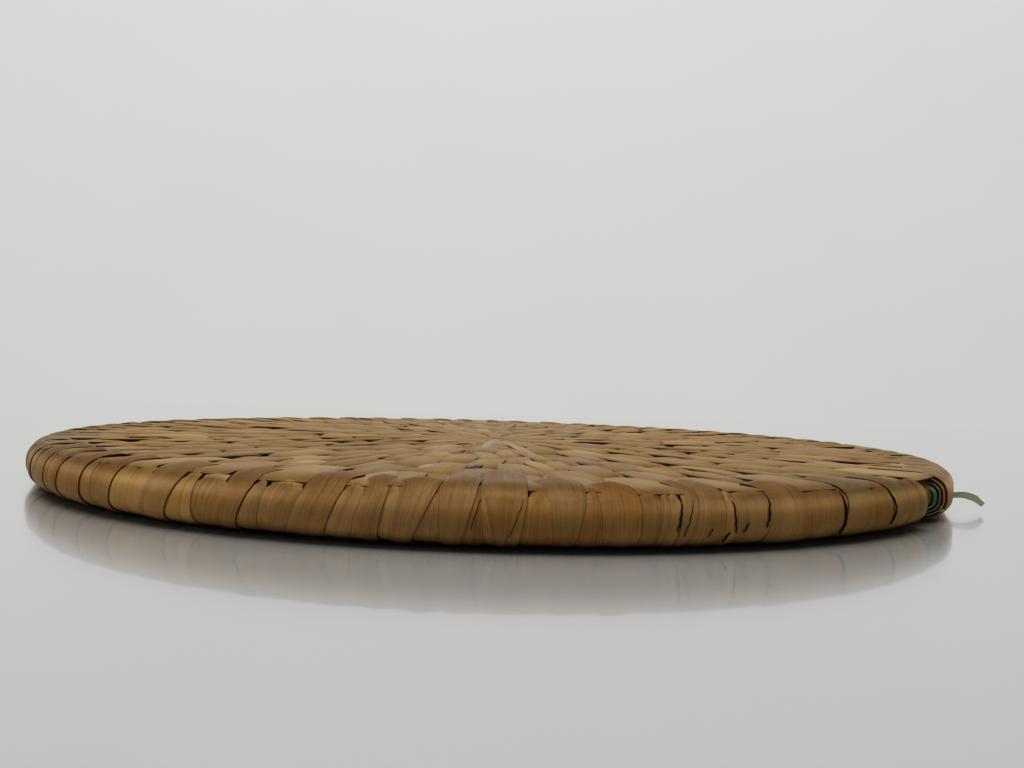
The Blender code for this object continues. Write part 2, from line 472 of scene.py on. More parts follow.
@dataclass(frozen=True)
class SheetFinish:
    """A pale plain surface with faint clouds, glossy for the table and matt for the wall."""

    name: str
    colour: tuple[float, float, float]
    roughness: float
    coat: float
    coat_index: float = 2.35
    coat_roughness: float = 0.19
    cloud_scale: float = 9.0
    cloud_shade: float = 0.03

    def material(self) -> bpy.types.Material:
        """Builds the finish: faint clouds in the colour and gloss.

        Returns:
            The material.
        """
        board = Board(self.name)
        spot = board.add("TexCoord").outputs["Object"]
        cloud = board.add("TexNoise", Vector=spot, Scale=self.cloud_scale, Detail=4.0).outputs["Fac"]
        base = board.add("RGB")
        base.outputs[0].default_value = (*self.colour, 1)
        shade = board.spread(cloud, *NOISE_SPAN, 1 - self.cloud_shade, 1 + self.cloud_shade)
        gloss = board.spread(cloud, *NOISE_SPAN, 0.8 * self.roughness, 1.3 * self.roughness)
        shader = board.add("BsdfPrincipled", Base_Color=board.dim(base.outputs[0], shade),
                           Roughness=gloss)
        shader.inputs["Coat Weight"].default_value = self.coat
        shader.inputs["Coat IOR"].default_value = self.coat_index
        shader.inputs["Coat Roughness"].default_value = self.coat_roughness
        board.add("OutputMaterial", Surface=shader.outputs[0])
        return board.material


@dataclass
class Course:
    """The way a strip runs, with one value in each array for each of its cross lines.

    A strip runs from the underside outwards and up over the rim, or inwards along the top.
    Crown is its arch between the edges, flatness how flat that arch's middle is, and tip how
    much higher one edge lies than the middle. Its edges draw in towards the axis as a circle
    does, by no more than at the radius least_turn.
    """

    angle: np.ndarray
    radius: np.ndarray
    height: np.ndarray
    half: np.ndarray
    crown: float | np.ndarray = 0.0
    tip: float = 0.0
    flatness: float = 2.0
    least_turn: float = 30 * MM

    def outward(self) -> tuple[np.ndarray, np.ndarray]:
        """Finds the direction that the strip faces.

        Returns:
            The direction's radial and upward parts at each cross line.
        """
        run = np.gradient(self.radius)
        rise = np.gradient(self.height)
        size = np.hypot(run, rise)
        return rise / size, -run / size

    def shift(self, out: float, up: float) -> None:
        """Moves the strip the way it faces.

        Args:
            out: Distance that counts for its radii.
            up: Distance that counts for its heights.
        """
        facing = self.outward()
        self.radius = self.radius + out * facing[0]
        self.height = self.height + up * facing[1]

    def travelled(self) -> np.ndarray:
        """Returns the distance from the strip's start at each cross line."""
        steps = np.hypot(np.diff(self.radius), np.diff(self.height))
        return np.concatenate([[0.0], np.cumsum(steps)])

    def place(self, across: np.ndarray, along: np.ndarray, depth: np.ndarray) -> np.ndarray:
        """Finds points of the strip.

        Args:
            across: Place between the edges, from -1 to 1.
            along: Place between the ends, from 0 to 1.
            depth: Distance in front of the strip's face, negative behind it.

        Returns:
            Rows of x, y and z.
        """
        marks = np.linspace(0, 1, len(self.radius))
        facing = self.outward()
        angle = np.radians(np.interp(along, marks, self.angle))
        radius = np.interp(along, marks, self.radius)
        height = np.interp(along, marks, self.height)
        side = across * np.interp(along, marks, self.half)
        crown = np.interp(along, marks, np.broadcast_to(self.crown, len(marks)))
        lift = depth + crown * (1 - np.abs(across) ** self.flatness) + self.tip * across
        radius = radius - side**2 / (2 * np.maximum(radius, self.least_turn))
        radius = radius + lift * np.interp(along, marks, facing[0])
        height = height + lift * np.interp(along, marks, facing[1])
        x = radius * np.sin(angle) + side * np.cos(angle)
        y = side * np.sin(angle) - radius * np.cos(angle)
        return np.column_stack([x, y, height])


def paced(radius: np.ndarray, height: np.ndarray, count: int, pace: float = 1.3 * MM,
          least: float = 1e-7) -> tuple[np.ndarray, np.ndarray]:
    """Samples a dense outline, with the samples closer together where it bends.

    Args:
        radius: Radii of the dense outline.
        height: Heights of the dense outline.
        count: Number of samples.
        pace: Length that one radian of bend counts for.
        least: Steps of the dense outline up to this length are left out.

    Returns:
        The samples' radii and heights.
    """
    step = np.hypot(np.diff(radius), np.diff(height))
    kept = np.concatenate([[True], step > least])
    radius, height = radius[kept], height[kept]
    step = np.hypot(np.diff(radius), np.diff(height))
    heading = np.unwrap(np.arctan2(np.diff(height), np.diff(radius)))
    bend = np.abs(np.gradient(heading))
    weight = np.concatenate([[0.0], np.cumsum(step + pace * bend)])
    wanted = np.linspace(0, weight[-1], count)
    return np.interp(wanted, weight, radius), np.interp(wanted, weight, height)


@dataclass
class StripBlank:
    """A flat reed strip with drawn-in ends, modelled once and copied for every strip.

    End_share and edge_share say how wide its ends are, and how far out its edge lanes begin.
    """

    name: str
    rows: int
    lanes: int
    end_share: float = 0.7
    edge_share: float = 0.9
    pattern_reach: float = 5.0
    strip: bpy.types.Object = field(init=False)

    def model(self) -> "StripBlank":
        """Models the blank from a grid: edge lanes, drawn-in ends and a thickness.

        Returns:
            The blank, ready to be copied.
        """
        choose_nothing()
        bpy.ops.mesh.primitive_grid_add(x_subdivisions=self.lanes, y_subdivisions=self.rows,
                                        size=2.0)
        self.strip = bpy.context.object
        self.strip.name = self.name
        outer_lane = 1 - 2 / self.lanes
        if outer_lane > 0:
            choose_points(self.strip, lambda p: np.isclose(np.abs(p[:, 0]), outer_lane, atol=1e-4))
            bpy.ops.transform.resize(value=(self.edge_share / outer_lane, 1, 1))
        row = 2 / self.rows
        taper = 0.35
        second_share = taper * self.end_share + (1 - taper)
        for back, share in ((0, self.end_share / second_share), (1, second_share)):
            choose_points(self.strip, lambda p, b=back: np.abs(p[:, 1]) > 1 - (b + 0.5) * row)
            bpy.ops.transform.resize(value=(share, 1, 1))
        bpy.ops.object.mode_set(mode="OBJECT")
        apply_modifier(self.strip, "SOLIDIFY", thickness=REED_THICKNESS, offset=-1)
        bpy.ops.object.shade_smooth_by_angle(angle=radians(50))
        self.read()
        return self

    def read(self) -> None:
        """Keeps the blank's measures and takes it off the bench."""
        mesh = self.strip.data
        spots = points_of(mesh)
        self.across = spots[:, 0]
        self.along = (spots[:, 1] + 1) / 2
        self.depth = spots[:, 2]
        self.corners = corners_of(mesh)
        self.flat = self.unfolded()
        drop_maps(mesh)
        for bench in list(self.strip.users_collection):
            bench.objects.unlink(self.strip)

    def unfolded(self) -> np.ndarray:
        """Unfolds the blank on a flat sheet: the face, the back and the edges apart.

        Returns:
            Each corner's place, as rows of across and along from 0 to 1.
        """
        mesh = self.strip.data
        turn = np.empty(len(mesh.polygons) * 3)
        mesh.polygons.foreach_get("normal", turn)
        count = np.empty(len(mesh.polygons), int)
        mesh.polygons.foreach_get("loop_total", count)
        turn = np.repeat(turn.reshape(-1, 3), count, axis=0)
        x = (self.across[self.corners] + 1) / 2
        y = self.along[self.corners]
        deep = self.depth[self.corners] < -REED_THICKNESS / 2
        sides = [(turn[:, 2] > 0.5, FACE_ACROSS, x), (turn[:, 2] < -0.5, BACK_ACROSS, x),
                 (turn[:, 0] > 0.5, EDGES_ACROSS["right"], deep),
                 (turn[:, 0] < -0.5, EDGES_ACROSS["left"], deep)]
        u = np.select([chosen for chosen, _, _ in sides],
                      [start + size * place for _, (start, size), place in sides],
                      FACE_ACROSS[0] + FACE_ACROSS[1] * x)
        ends = (np.abs(turn[:, 2]) <= 0.5) & (np.abs(turn[:, 0]) <= 0.5)
        near, far = ENDS_ALONG["near"], ENDS_ALONG["far"]
        end_v = np.where(y > 0.5, far[0] + far[1] * deep, near[0] + near[1] * deep)
        v = np.where(ends, end_v, SIDES_ALONG[0] + SIDES_ALONG[1] * y)
        return np.column_stack([u, v])

    def lay(self, course: Course, colour: np.ndarray, shade: np.ndarray, draw: np.random.Generator,
            ) -> bpy.types.Object:
        """Copies the blank and bends the copy along a course.

        Args:
            course: Where the strip runs.
            colour: The strip's linear colour, or one for each cross line.
            shade: Painted light and shade at each cross line, 1 where none is painted.
            draw: Source of the strip's own pattern offset.

        Returns:
            The laid strip, with its own mesh.
        """
        strip = self.strip.copy()
        strip.data = self.strip.data.copy()
        mesh = strip.data
        mesh.vertices.foreach_set("co", course.place(self.across, self.along, self.depth).ravel())
        marks = np.linspace(0, 1, len(course.radius))
        painted = np.broadcast_to(colour, (len(marks), 3)) * shade[:, None]
        paint_points(mesh, np.column_stack([np.interp(self.along, marks, channel)
                                            for channel in painted.T]))
        width = self.across * np.mean(course.half)
        run = np.interp(self.along, marks, course.travelled())
        chart = np.column_stack([width, run]) + draw.uniform(0, self.pattern_reach, 2)
        add_map(mesh, "reed", chart[self.corners])
        add_map(mesh, "edge", np.column_stack([self.across, self.along])[self.corners])
        bpy.context.scene.collection.objects.link(strip)
        return strip


class Bundle:
    """Laid strips that are joined into one piece."""

    def __init__(self, name: str, blank: StripBlank, columns: int) -> None:
        """Starts an empty bundle.

        Args:
            name: The joined piece's name.
            blank: The blank that its strips are copied from.
            columns: How many strips lie side by side on the piece's flat sheet.
        """
        self.name = name
        self.blank = blank
        self.columns = columns
        self.strips: list[bpy.types.Object] = []

    def lay(self, course: Course, colour: np.ndarray, shade: np.ndarray,
            draw: np.random.Generator) -> None:
        """Adds one laid strip, as StripBlank.lay does."""
        self.strips.append(self.blank.lay(course, colour, shade, draw))

    def join(self, material: bpy.types.Material) -> bpy.types.Object:
        """Joins the strips and gives each its own place on the piece's flat sheet.

        Args:
            material: The finish of the whole piece.

        Returns:
            The joined piece.
        """
        rows = -(-len(self.strips) // self.columns)
        for number, strip in enumerate(self.strips):
            cell = np.array([number % self.columns, number // self.columns])
            flat = (cell + self.blank.flat) / (self.columns, rows)
            add_map(strip.data, "OFBake", flat)
        choose_nothing()
        for strip in self.strips:
            strip.select_set(True)
        piece = self.strips[0]
        bpy.context.view_layer.objects.active = piece
        if len(self.strips) > 1:
            bpy.ops.object.join()
        piece.name = self.name
        piece.data.name = self.name
        piece.data.materials.append(material)
        return piece


def settle(piece: bpy.types.Object, slot: str, *nodes: str) -> None:
    """Fixes a finished piece to the body and hides the nodes that it stands for.

    Args:
        piece: The finished piece.
        slot: Not used.
        *nodes: Names of the nodes that it stands for.
    """
    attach(piece, "root")
    if nodes:
        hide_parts(*nodes)
    log.info("%s: %d faces", piece.name, len(piece.data.polygons))


class RimStrip(NamedTuple):
    """One strip of the rim: the radius of its crest in millimetres, and its edges."""

    kind: Kind
    crest: float
    top: tuple[float, float]
    shoulder: tuple[float, float]
    foot: tuple[float, float]
    tone: Tone


LONG, SHORT = Kind.LONG, Kind.SHORT
FRONT_STRIPS = (
    RimStrip(LONG, 102.0, (-50.6, -47.2), (-50.2, -47.0), (-50.6, -47.4), Tone.TAN),
    RimStrip(SHORT, 107.6, (-46.9, -45.8), (-47.1, -45.7), (-47.4, -46.2), Tone.STRAW),
    RimStrip(SHORT, 107.8, (-45.7, -44.7), (-45.7, -44.6), (-46.2, -45.2), Tone.STRAW),
    RimStrip(LONG, 102.5, (-44.7, -42.6), (-44.6, -42.8), (-45.2, -43.8), Tone.TAN),
    RimStrip(SHORT, 107.4, (-42.5, -40.3), (-42.8, -40.3), (-43.8, -40.8), Tone.STRAW),
    RimStrip(LONG, 103.0, (-40.4, -37.8), (-40.3, -38.0), (-40.8, -38.6), Tone.TAN),
    RimStrip(SHORT, 107.6, (-37.8, -36.4), (-38.0, -36.3), (-38.6, -36.5), Tone.STRAW),
    RimStrip(SHORT, 107.8, (-36.3, -35.2), (-36.3, -35.1), (-36.5, -35.4), Tone.TAN),
    RimStrip(LONG, 102.0, (-35.2, -32.6), (-35.1, -32.8), (-35.4, -33.9), Tone.TAN),
    RimStrip(SHORT, 107.5, (-32.6, -30.6), (-32.8, -30.4), (-33.9, -31.0), Tone.GOLD),
    RimStrip(SHORT, 107.9, (-30.5, -28.6), (-30.4, -28.3), (-31.0, -29.6), Tone.GOLD),
    RimStrip(LONG, 102.5, (-28.6, -24.6), (-28.3, -25.0), (-29.6, -27.0), Tone.STRAW),
    RimStrip(SHORT, 107.7, (-24.6, -23.3), (-25.0, -23.3), (-27.0, -23.6), Tone.GOLD),
    # This wrap and the one at -16.4 degrees have painted highlights: pale tops.
    RimStrip(SHORT, 108.1, (-22.9, -20.6), (-23.3, -20.2), (-23.6, -22.0), Tone.PALE),
    RimStrip(LONG, 102.5, (-20.6, -17.7), (-20.2, -18.0), (-22.0, -19.7), Tone.TAN),
    RimStrip(SHORT, 107.6, (-17.6, -16.9), (-18.0, -16.8), (-19.7, -17.6), Tone.STRAW),
    RimStrip(SHORT, 108.1, (-16.4, -13.8), (-16.8, -13.4), (-17.6, -15.0), Tone.PALE),
    RimStrip(LONG, 102.5, (-13.8, -10.2), (-13.4, -10.5), (-15.0, -12.0), Tone.TAN),
    RimStrip(SHORT, 108.1, (-10.2, -8.8), (-10.5, -8.6), (-12.0, -9.7), Tone.STRAW),
    RimStrip(LONG, 103.0, (-9.0, -7.2), (-8.6, -7.0), (-9.7, -7.8), Tone.TAN),
    RimStrip(SHORT, 106.6, (-7.0, -6.1), (-7.0, -5.8), (-7.8, -6.3), Tone.STRAW),
    RimStrip(LONG, 104.6, (-6.3, -3.1), (-6.1, -3.5), (-6.6, -5.2), Tone.TAN),
    RimStrip(SHORT, 107.4, (-3.2, -2.8), (-3.5, -2.9), (-5.2, -2.8), Tone.TAN),
    RimStrip(LONG, 101.4, (-2.9, -0.1), (-2.9, -0.4), (-2.8, -1.5), Tone.TAN),
    RimStrip(SHORT, 107.3, (-0.2, 0.1), (-0.4, 0.0), (-1.5, 0.3), Tone.TAN),
    RimStrip(SHORT, 107.5, (0.0, 0.3), (0.0, 0.3), (0.3, 1.3), Tone.TAN),
    RimStrip(LONG, 91.5, (0.1, 2.9), (0.2, 2.6), (1.3, 1.9), Tone.GREY),
    RimStrip(LONG, 95.0, (2.3, 3.7), (2.4, 3.4), (1.9, 2.8), Tone.GREY),
    RimStrip(SHORT, 107.3, (3.8, 5.0), (3.3, 5.3), (2.8, 5.6), Tone.RUST),
    RimStrip(LONG, 100.7, (4.5, 8.0), (5.2, 7.8), (5.6, 7.1), Tone.GREY),
    RimStrip(SHORT, 106.9, (8.0, 9.0), (7.8, 9.0), (7.1, 9.3), Tone.RUST),
    RimStrip(LONG, 104.5, (8.9, 11.6), (9.0, 12.0), (9.3, 12.0), Tone.RUST),
    RimStrip(SHORT, 108.0, (12.0, 13.7), (12.0, 13.9), (12.0, 13.4), Tone.TAN),
    RimStrip(SHORT, 108.1, (13.9, 14.5), (13.9, 14.5), (13.4, 14.1), Tone.OLIVE),
    RimStrip(SHORT, 108.0, (14.5, 15.2), (14.5, 15.3), (14.1, 15.0), Tone.STRAW),
    RimStrip(LONG, 101.8, (15.7, 17.1), (15.6, 16.8), (15.2, 15.9), Tone.TAN),
    RimStrip(LONG, 101.2, (17.0, 19.2), (16.8, 19.1), (16.1, 18.8), Tone.TAN),
    RimStrip(SHORT, 107.9, (19.3, 20.0), (19.0, 20.0), (18.8, 20.1), Tone.STRAW),
    RimStrip(SHORT, 107.9, (20.0, 23.2), (20.0, 23.4), (20.1, 23.1), Tone.TAN),
    RimStrip(LONG, 103.7, (23.2, 27.1), (23.5, 27.2), (23.2, 27.5), Tone.TAN),
    RimStrip(SHORT, 107.5, (27.3, 32.0), (27.1, 32.2), (27.4, 31.1), Tone.TAN),
    RimStrip(LONG, 101.0, (32.2, 36.0), (32.4, 36.0), (31.4, 35.8), Tone.MOSS),
    RimStrip(SHORT, 107.4, (36.2, 38.7), (36.0, 38.9), (35.8, 38.7), Tone.OLIVE),
    RimStrip(LONG, 101.6, (38.8, 42.0), (39.1, 41.8), (38.9, 41.6), Tone.MOSS),
    RimStrip(SHORT, 107.4, (42.2, 44.1), (41.8, 44.1), (41.6, 44.0), Tone.OLIVE),
    RimStrip(SHORT, 107.2, (44.3, 46.3), (44.1, 46.4), (44.0, 46.3), Tone.OLIVE),
)


# Tones of the rim's strips away from the front, and what some tones turn to on the rim's side.
# Grey and pale tops are painted sheen and highlights, so those strips are tan on the side.
ROUND_TONES = (Tone.STRAW, Tone.TAN, Tone.TAN, Tone.GREY, Tone.OLIVE, Tone.RUST, Tone.GOLD)
SIDE_TONES = {Tone.MOSS: Tone.OLIVE, Tone.GREY: Tone.TAN, Tone.PALE: Tone.TAN,
              Tone.FERN: Tone.OLIVE}


@dataclass
class RimWrapping:
    """The strips wound round the outermost coil, open at one place on the right.

    Widths, leans and stretches are in degrees. Crests, foot, tip, crown and the heights where
    tones turn are in millimetres. A strip's foot and shoulder angles hold at the heights foot_at
    and shoulder_at, and its top angles from top_length before its end.
    """

    start: float = 56.2
    stop: float = 360 - 50.4
    long_width: tuple[float, float] = (2.3, 3.6)
    long_crest: tuple[float, float] = (100.6, 104.2)
    short_room: tuple[float, float] = (2.3, 3.9)
    short_crest: tuple[float, float] = (107.2, 108.1)
    two_wraps_from: float = 3.0
    least_room: float = 2.2
    lean: tuple[float, float] = (-1.4, 0.2)
    lean_on_top: float = 0.2
    narrower_foot: tuple[float, float] = (-0.1, 0.5)
    fern_stretches: tuple[tuple[float, float], ...] = ((121, 127), (231, 240))
    # Strips whose shoulders lie in this stretch are painted lighter, as painted light.
    painted_light_stretch: tuple[float, float] = (50, 110)
    painted_light_gain: float = 1.4
    brightness: tuple[float, float] = (0.94, 1.06)
    humped_within: float = 60
    less_hump: float = 0.3
    foot: tuple[float, float] = (0.28, 0.5)
    tip: tuple[float, float] = (0.02, 0.07)
    crown: float = 0.13
    inset: float = 0.1 * MM
    end_taper: float = 0.22
    tail: float = 1.6 * MM
    foot_start: float = 99.6 * MM
    foot_at: float = 1.4 * MM
    shoulder_at: float = 7.7 * MM
    top_length: float = 5.0 * MM
    least_top: float = 0.3 * MM
    tone_turn: float = 7.0
    pale_turn: float = 7.9
    tone_blend: float = 0.5
    rows: int = 30
    lanes: int = 6
    seed: int = SEED

    def build(self, finish: ReedFinish) -> None:
        """Lays, joins and dresses the long stitches and the short wraps.

        Args:
            finish: The reed's finish.
        """
        draw = np.random.default_rng(self.seed)
        blank = StripBlank("rim_blank", self.rows, self.lanes, end_share=0.8, edge_share=0.92).model()
        bundles = {LONG: Bundle("rim_long_stitches", blank, 16),
                   SHORT: Bundle("rim_short_wraps", blank, 20)}
        light_from, light_to = self.painted_light_stretch
        for strip in self.strips():
            course = self.course(strip, draw)
            colour = self.colour(strip.tone, course) * draw.uniform(*self.brightness)
            # Painted light: strips on the right side are painted lighter.
            if light_from < strip.shoulder[0] < light_to:
                colour = colour * self.painted_light_gain
            bundles[strip.kind].lay(course, colour, rim_painted_light(course), draw)
        material = finish.material()
        for bundle in bundles.values():
            settle(bundle.join(material), "reed_rim", "rim_wrapping")

    def strips(self) -> list[RimStrip]:
        """Lists the front strips, and draws others of the same sorts round the rest of the rim.

        Returns:
            The strips of the whole rim.
        """
        draw = np.random.default_rng(self.seed + 1)
        strips = list(FRONT_STRIPS)
        angle = self.start
        while angle < self.stop - self.least_room:
            wide = draw.uniform(*self.long_width)
            strips.append(self.drawn(LONG, angle, wide, draw.uniform(*self.long_crest), draw))
            angle += wide
            room = draw.uniform(*self.short_room)
            parts = 2 if room > self.two_wraps_from else 1
            for part in range(parts):
                strips.append(self.drawn(SHORT, angle + part * room / parts, room / parts,
                                         draw.uniform(*self.short_crest), draw))
            angle += room
        return strips

    def drawn(self, kind: Kind, start: float, wide: float, crest: float,
              draw: np.random.Generator) -> RimStrip:
        """Makes one strip of the rest of the rim.

        Args:
            kind: Long stitch or short wrap.
            start: Angle of its first edge at the shoulder.
            wide: Its width in degrees.
            crest: Radius of its crest in millimetres.
            draw: Source of its small differences.

        Returns:
            The strip.
        """
        stop = min(start + wide, self.stop)
        spread = kind.value.spread
        lean = draw.uniform(*self.lean)
        top = (start - spread - self.lean_on_top * lean, stop + spread - self.lean_on_top * lean)
        foot = (start + lean + draw.uniform(*self.narrower_foot),
                stop + lean - draw.uniform(*self.narrower_foot))
        tone = pick(ROUND_TONES, draw)
        if any(low < start < high for low, high in self.fern_stretches):
            tone = Tone.FERN
        return RimStrip(kind, crest, top, (start, stop), foot, tone)

    def course(self, strip: RimStrip, draw: np.random.Generator) -> Course:
        """Finds where one strip of the rim runs.

        Args:
            strip: The strip.
            draw: Source of its small differences.

        Returns:
            Its course, from the underside up over the rim.
        """
        sort = strip.kind.value
        proud = draw.uniform(*sort.proud) * MM
        foot = draw.uniform(*self.foot) * MM
        radius, height = rim_outline(strip.crest * MM, foot, sort.bend * MM, self.tail,
                                     self.foot_start)
        radius, height = paced(radius, height, self.rows + 1)
        unset = np.zeros(self.rows + 1)
        course = Course(angle=unset, radius=radius, height=height, half=unset,
                        tip=draw.uniform(*self.tip) * MM)
        course.shift(proud - self.inset, proud)
        run = course.travelled()
        marks = self.marks(run, radius, height)
        _, _, shoulder, crest, end = marks
        edges = [np.interp(run, marks, (low, low, side, top, top))
                 for low, side, top in zip(strip.foot, strip.shoulder, strip.top)]
        course.angle = (edges[0] + edges[1]) / 2
        past = np.clip((run - crest) / (end - crest), 0, 1)
        course.half = np.radians((edges[1] - edges[0]) / 2 + sort.overlap) * WRAP_RADIUS
        course.half = course.half * (1 - self.end_taper * past**2)
        rounding = np.clip((run - shoulder) / (crest - shoulder), 0, 1) ** 2
        in_front = abs(strip.shoulder[0]) < self.humped_within
        hump = sort.hump * (1.0 if in_front else self.less_hump)
        course.crown = (self.crown + hump * rounding) * MM
        return course

    def marks(self, run: np.ndarray, radius: np.ndarray, height: np.ndarray) -> tuple[float, ...]:
        """Finds how far along a strip its start, foot, shoulder, crest and end lie.

        Args:
            run: Distance from the start at each cross line.
            radius: Radius at each cross line.
            height: Height at each cross line.

        Returns:
            The five distances.
        """
        outer = int(np.argmax(radius))
        highest = int(np.argmax(height))
        below = np.interp(self.foot_at, height[:outer + 1], run[:outer + 1])
        above = np.interp(self.shoulder_at, height[outer:highest + 1], run[outer:highest + 1])
        crest = max(run[-1] - self.top_length, above + self.least_top)
        return 0.0, below, above, crest, run[-1]

    def colour(self, tone: Tone, course: Course) -> np.ndarray:
        """Finds a strip's colour at each cross line: some are greener on top only, and grey and pale
        tops are painted sheen and highlights.

        Args:
            tone: The strip's tone on top.
            course: Where the strip runs.

        Returns:
            Rows of linear colour.
        """
        turn = self.pale_turn if tone is Tone.PALE else self.tone_turn
        top = np.clip((course.height / MM - turn) / self.tone_blend, 0, 1)[:, None]
        return SIDE_TONES.get(tone, tone).linear() * (1 - top) + tone.linear() * top


class RimTear(NamedTuple):
    """A split in the rim's reed: the angle and height of each end, and half its width.

    Heights and the half width are in millimetres.
    """

    low: tuple[float, float]
    high: tuple[float, float]
    half: float


RIM_TEARS = (
    RimTear((20.0, 3.0), (19.8, 7.6), 0.07),
    RimTear((22.9, 3.6), (23.3, 8.0), 0.09),
    RimTear((19.1, 1.6), (19.5, 3.1), 0.07),
    RimTear((17.6, 2.4), (17.9, 3.8), 0.04),
    RimTear((20.7, 3.0), (21.2, 4.4), 0.05),
    RimTear((15.6, 2.6), (16.4, 8.2), 0.07),
    RimTear((15.0, 3.3), (15.4, 7.2), 0.10),
    RimTear((31.5, 1.5), (31.6, 8.3), 0.13),
    RimTear((38.7, 2.4), (39.2, 5.2), 0.08),
    RimTear((39.2, 5.0), (38.6, 7.9), 0.08),
    RimTear((-0.6, 3.4), (0.1, 7.6), 0.05),
    RimTear((2.2, 2.4), (3.3, 7.8), 0.05),
)


@dataclass
class RimTears:
    """The splits and torn places in the rim's strips, laid as dark slivers of painted shadow."""

    proud: float = 0.13 * MM
    wander: float = 0.07
    rows: int = 8
    lanes: int = 2
    seed: int = SEED + 60

    def build(self, finish: ReedFinish) -> None:
        """Lays and dresses the slivers.

        Args:
            finish: The reed's finish.
        """
        blank = StripBlank("tear_blank", self.rows, self.lanes, end_share=0.3).model()
        draw = np.random.default_rng(self.seed)
        bundle = Bundle("rim_tear_shadows", blank, 4)
        for tear in RIM_TEARS:
            bundle.lay(self.course(tear, draw), Tone.GAP.linear(), np.ones(self.rows + 1), draw)
        settle(bundle.join(finish.material()), "reed_rim", "rim_wrapping")

    def course(self, tear: RimTear, draw: np.random.Generator) -> Course:
        """Finds where one sliver runs, up the rim's side.

        Args:
            tear: The split.
            draw: Source of its small bends.

        Returns:
            Its course, a little proud of the strips.
        """
        place = np.linspace(0, 1, self.rows + 1)
        height = tear.low[1] + (tear.high[1] - tear.low[1]) * place
        up = (np.abs(height * MM - MIDDLE) / MIDDLE) ** (1 / SQUARENESS)
        bends = np.concatenate([[0], draw.uniform(-self.wander, self.wander, self.rows - 1), [0]])
        course = Course(angle=tear.low[0] + (tear.high[0] - tear.low[0]) * place + bends,
                        radius=SHOULDER + BULGE * (1 - up**2) ** (SQUARENESS / 2),
                        height=height * MM, half=np.full(self.rows + 1, tear.half * MM))
        course.shift(self.proud, self.proud)
        return course


# Painted light and shade on the side of the rim's strips at heights in millimetres: dark at the
# foot, lighter low down and in a band below the shoulder, dim over the top.
SIDE_PAINTED_LIGHT = ((0.3, 0.28), (0.8, 0.75), (1.4, 1.15), (2.6, 1.10), (4.0, 0.96),
               (5.6, 0.98), (6.6, 1.12), (7.3, 0.84), (8.0, 0.38), (8.6, 0.34))


def rim_painted_light(course: Course) -> np.ndarray:
    """Finds the painted light and shade of a strip of the rim: dark where it dives, dim on the flat
    faces.

    Args:
        course: Where the strip runs.

    Returns:
        Painted light and shade at each cross line, 1 where none is painted.
    """
    side_from, flat_shade = 105 * MM, 0.36
    dive_length, dive_shade, dive_gain = 3.0 * MM, 0.22, 0.78
    run = course.travelled()
    dive = np.clip((run[-1] - run) / dive_length, 0, 1)
    side = read_off(SIDE_PAINTED_LIGHT, course.height / MM)
    return (dive_shade + dive_gain * dive) * np.where(course.radius > side_from, side, flat_shade)


def rim_outline(crest: float, foot: float, bend: float, tail: float, start: float,
                bulge: float = BULGE) -> tuple[np.ndarray, np.ndarray]:
    """Draws a rim strip's outline densely, from the underside over the rim to its dive.

    Args:
        crest: Radius where the strip starts to dive.
        foot: Height of its underside.
        bend: Radius of the bend into its dive.
        tail: Length of the straight part at its end.
        start: Radius where it starts on the underside.
        bulge: Radial width of the rounded side.

    Returns:
        The outline's radii and heights.
    """
    flat, rounded, bent, straight = 12, 40, 24, 5
    dive_heading = radians(255)
    low = np.radians(np.linspace(90, 0, rounded))
    reach = np.clip((crest - SHOULDER) / bulge, 0, 1)
    high = np.linspace(0, np.arccos(reach ** (1 / SQUARENESS)), rounded)
    radius = np.concatenate([np.linspace(start, SHOULDER, flat),
                             SHOULDER + bulge * np.cos(low) ** SQUARENESS,
                             SHOULDER + bulge * np.cos(high) ** SQUARENESS])
    height = np.concatenate([np.full(flat, foot),
                             MIDDLE - (MIDDLE - foot) * np.sin(low) ** SQUARENESS,
                             MIDDLE + MIDDLE * np.sin(high) ** SQUARENESS])
    if crest < SHOULDER:
        radius = np.append(radius, np.linspace(SHOULDER, crest, flat)[1:])
        height = np.append(height, np.full(flat - 1, THICKNESS))
    heading = atan2(height[-1] - height[-2], radius[-1] - radius[-2])
    turns = np.linspace(heading, dive_heading, bent)
    step = bend * np.gradient(turns)
    radius = np.append(radius, radius[-1] + np.cumsum(step * np.cos(turns)))
    height = np.append(height, height[-1] + np.cumsum(step * np.sin(turns)))
    ends = np.linspace(0, tail, straight)[1:]
    radius = np.append(radius, radius[-1] + ends * np.cos(turns[-1]))
    height = np.append(height, height[-1] + ends * np.sin(turns[-1]))
    return radius, height


def shoulder_height(radius: np.ndarray) -> np.ndarray:
    """Returns the height of the rim's outline at given radii, flat inside the shoulder."""
    reach = np.clip((radius - SHOULDER) / BULGE, 0, 1) ** (1 / SQUARENESS)
    return MIDDLE + MIDDLE * (1 - reach**2) ** (SQUARENESS / 2)


# The floats' tones, and the painted shade along them, darker towards the ends where they dive,
# from the outer end, at -1, to the inner end, at 1.
FLOAT_TONES = (Tone.STRAW, Tone.STRAW, Tone.TAN, Tone.TAN, Tone.OLIVE, Tone.GREY, Tone.GOLD)
FLOAT_PAINTED_SHADE = ((-1, 0.46), (-0.8, 0.72), (-0.3, 0.91), (0.4, 1.0), (0.8, 0.84), (1, 0.46))

# The outermost floats' width and crown from end to end, as shares of a plain float's.
OUTER_WIDTHS = ((-1, 1.35), (0.2, 1.25), (1, 1.0))
OUTER_CROWNS = ((-1, 0.15), (0, 0.45), (1, 1.0))


